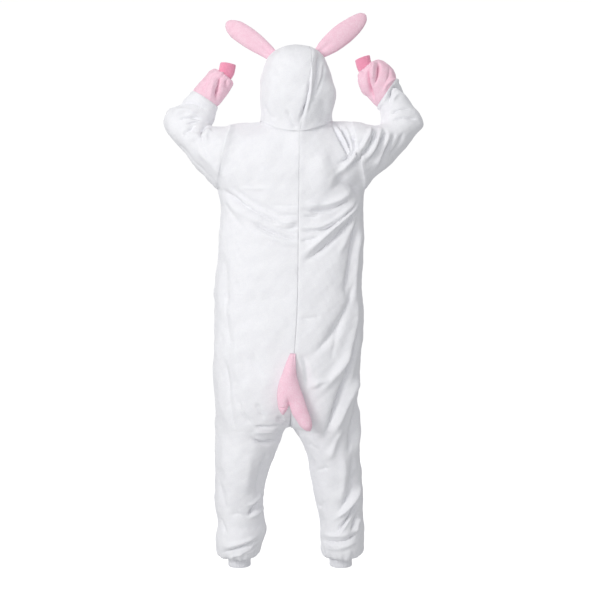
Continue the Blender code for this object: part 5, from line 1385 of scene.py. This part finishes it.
def make_buttons(finish, thread):
    """Flat buttons with a rim, four holes and crossed thread."""
    for number in range(1, 6):
        low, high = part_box(f"button_{number}")
        middle, radius, thick = (low + high) / 2, (high[0] - low[0]) / 2, high[1] - low[1]
        holes = [(HOLE_PLACE * radius * a, HOLE_PLACE * radius * b) for a in (-1, 1) for b in (-1, 1)]
        turn = np.linspace(0, 2 * math.pi, BUTTON_SIDES, endpoint=False)
        vertices = []
        for share, rise in BUTTON_PROFILE:
            vertices += [(middle[0] + radius * share * math.cos(a), low[1] + thick * rise,
                          middle[2] + radius * share * math.sin(a)) for a in turn]
        faces = grid_faces(len(BUTTON_PROFILE), BUTTON_SIDES, cyclic=True)
        made = piece(
            f"detailed_button_{number}", vertices, faces, finish, [f"button_{number}"])
        for hole in holes:
            bpy.ops.mesh.primitive_cylinder_add(
                radius=HOLE_RADIUS * radius, depth=thick * 3, vertices=16,
                location=(middle[0] + hole[0], middle[1], middle[2] + hole[1]), rotation=(math.pi / 2, 0, 0))
            cutter = bpy.context.object
            bpy.context.view_layer.update()
            cut = made.modifiers.new("hole", "BOOLEAN")
            cut.operation, cut.object, cut.solver = "DIFFERENCE", cutter, "EXACT"
            bpy.context.view_layer.objects.active = made
            bpy.ops.object.modifier_apply(modifier=cut.name)
            bpy.data.objects.remove(cutter)
        for a, b in ((0, 3), (1, 2)):
            curve = bpy.data.curves.new(f"thread_{number}_{a}", "CURVE")
            curve.dimensions, curve.bevel_depth, curve.bevel_resolution = "3D", THREAD_RADIUS * radius, 3
            spline = curve.splines.new("POLY")
            spline.points.add(8)
            for k, point in enumerate(spline.points):
                t = k / 8
                x = middle[0] + holes[a][0] * (1 - t) + holes[b][0] * t
                z = middle[2] + holes[a][1] * (1 - t) + holes[b][1] * t
                y = low[1] + thick * (0.5 + 0.26 * math.sin(math.pi * t) ** 0.5)
                point.co = (x, y, z, 1)
            curve.materials.append(thread)
            strand = placed(curve.name, curve)
            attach(strand, "root")


def light(name, place, aim, size, power, colour):
    """A square soft light at a place, turned to what it lights."""
    lamp = bpy.data.lights.new(name, "AREA")
    lamp.size, lamp.energy, lamp.color = size, power, colour
    made = placed(name, lamp)
    made.location = place
    made.rotation_euler = (Vector(aim) - Vector(place)).to_track_quat("-Z", "Y").to_euler()


def make_studio():
    """A pale floor, a white backdrop far off, soft light mostly from the left, and the camera."""
    scene = bpy.context.scene
    scene.view_settings.view_transform = "Standard"
    world = bpy.data.worlds.new("studio")
    world.use_nodes = True
    sky = world.node_tree.nodes["Background"]
    sky.inputs["Color"].default_value = (0.97, 0.98, 1.0, 1)
    sky.inputs["Strength"].default_value = 0.50
    scene.world = world

    floor_paint, tree, shader, where = new_material("pale floor paint", 0.8)
    grain = add(tree, "ShaderNodeTexNoise", {"Vector": where, "Scale": 6.0, "Detail": 2.0})
    mixed = add(tree, "ShaderNodeMix", {
        "Factor": grain.outputs["Fac"], "A": (0.62, 0.62, 0.62, 1), "B": (0.60, 0.60, 0.605, 1)},
        data_type="RGBA")
    tree.links.new(mixed.outputs["Result"], shader.inputs["Base Color"])
    shader.inputs["Emission Color"].default_value = (1, 1, 1, 1)
    shader.inputs["Emission Strength"].default_value = 0.66
    bpy.ops.mesh.primitive_circle_add(radius=2.4, vertices=96, fill_type="NGON", location=(0, 0, FLOOR))
    floor = bpy.context.object
    floor.name = "floor"
    floor.data.materials.append(floor_paint)

    backdrop_paint = bpy.data.materials.new("white backdrop")
    backdrop_paint.use_nodes = True
    shader = backdrop_paint.node_tree.nodes["Principled BSDF"]
    shader.inputs["Base Color"].default_value = (0, 0, 0, 1)
    shader.inputs["Emission Color"].default_value = (1, 1, 1, 1)
    shader.inputs["Emission Strength"].default_value = 1.0
    bpy.ops.mesh.primitive_uv_sphere_add(radius=40, segments=48, ring_count=24)
    backdrop = bpy.context.object
    backdrop.name = "backdrop"
    backdrop.data.materials.append(backdrop_paint)
    for ray in ("visible_diffuse", "visible_glossy", "visible_transmission", "visible_shadow"):
        setattr(backdrop, ray, False)
    floor.visible_diffuse = False

    aim = (0.0, 0.0, -0.5)
    light("key", (-2.6, -3.4, 0.9), aim, 1.5, 79, (1.0, 0.995, 0.985))
    light("low front", (-0.5, -4.3, -0.9), (0.0, 0.0, -1.0), 1.6, 23, (1, 1, 1))
    light("from the front", (-1.6, 4.2, 1.0), aim, 2.2, 85, (1, 1, 1))
    light("top", (0.3, -1.4, 3.0), aim, 1.8, 12, (1, 1, 1))

    lens = bpy.data.cameras.new("camera")
    lens.lens, lens.sensor_width = 68.65, 36
    lens.shift_y = -HORIZON_RISE / PHOTO_SIZE
    camera = placed("camera", lens)
    camera.location = CAMERA_PLACE
    camera.rotation_euler = (math.pi / 2, 0, 0)
    scene.camera = camera


def main():
    make_studio()
    # the second colour of each plush is the painted shade deep in its pile, the third the colour of its
    # brushed patches
    white = plush("white plush", "#F6F6F8", "#EAEAEF", "#F3F3F6")
    pink = plush("pale pink plush", "#FDDCE8", "#F2B6CD", "#F9D2E0")
    # the second colour of each rib knit is the painted shade of its furrows, mixed with random fuzz
    hot_pink = rib_knit("pink rib knit", "#FFBAD2", "#F896B8", 0.0016)
    white_rib = rib_knit("white rib knit", "#F6F6F9", "#E9E9EE", 0.0016)
    body = make_body(white)
    make_sleeves(white, pink)
    make_wrist_cuffs(hot_pink)
    make_ankle_cuffs(white_rib)
    hoods = make_hood(white)
    make_ears(hoods, pink)
    make_tail([body["back", "left"], body["back", "right"]], pink)
    make_placket([body["front", "left"], body["front", "right"]], white)
    make_buttons(
        plain_finish("white button resin", "#EDEDEF", "#DFDFE4", 0.35, 0.004, 0.0001),
        plain_finish("white sewing thread", "#F4F4F6", "#D8D8DE", 0.8, 0.0006, 0.0002))


main()
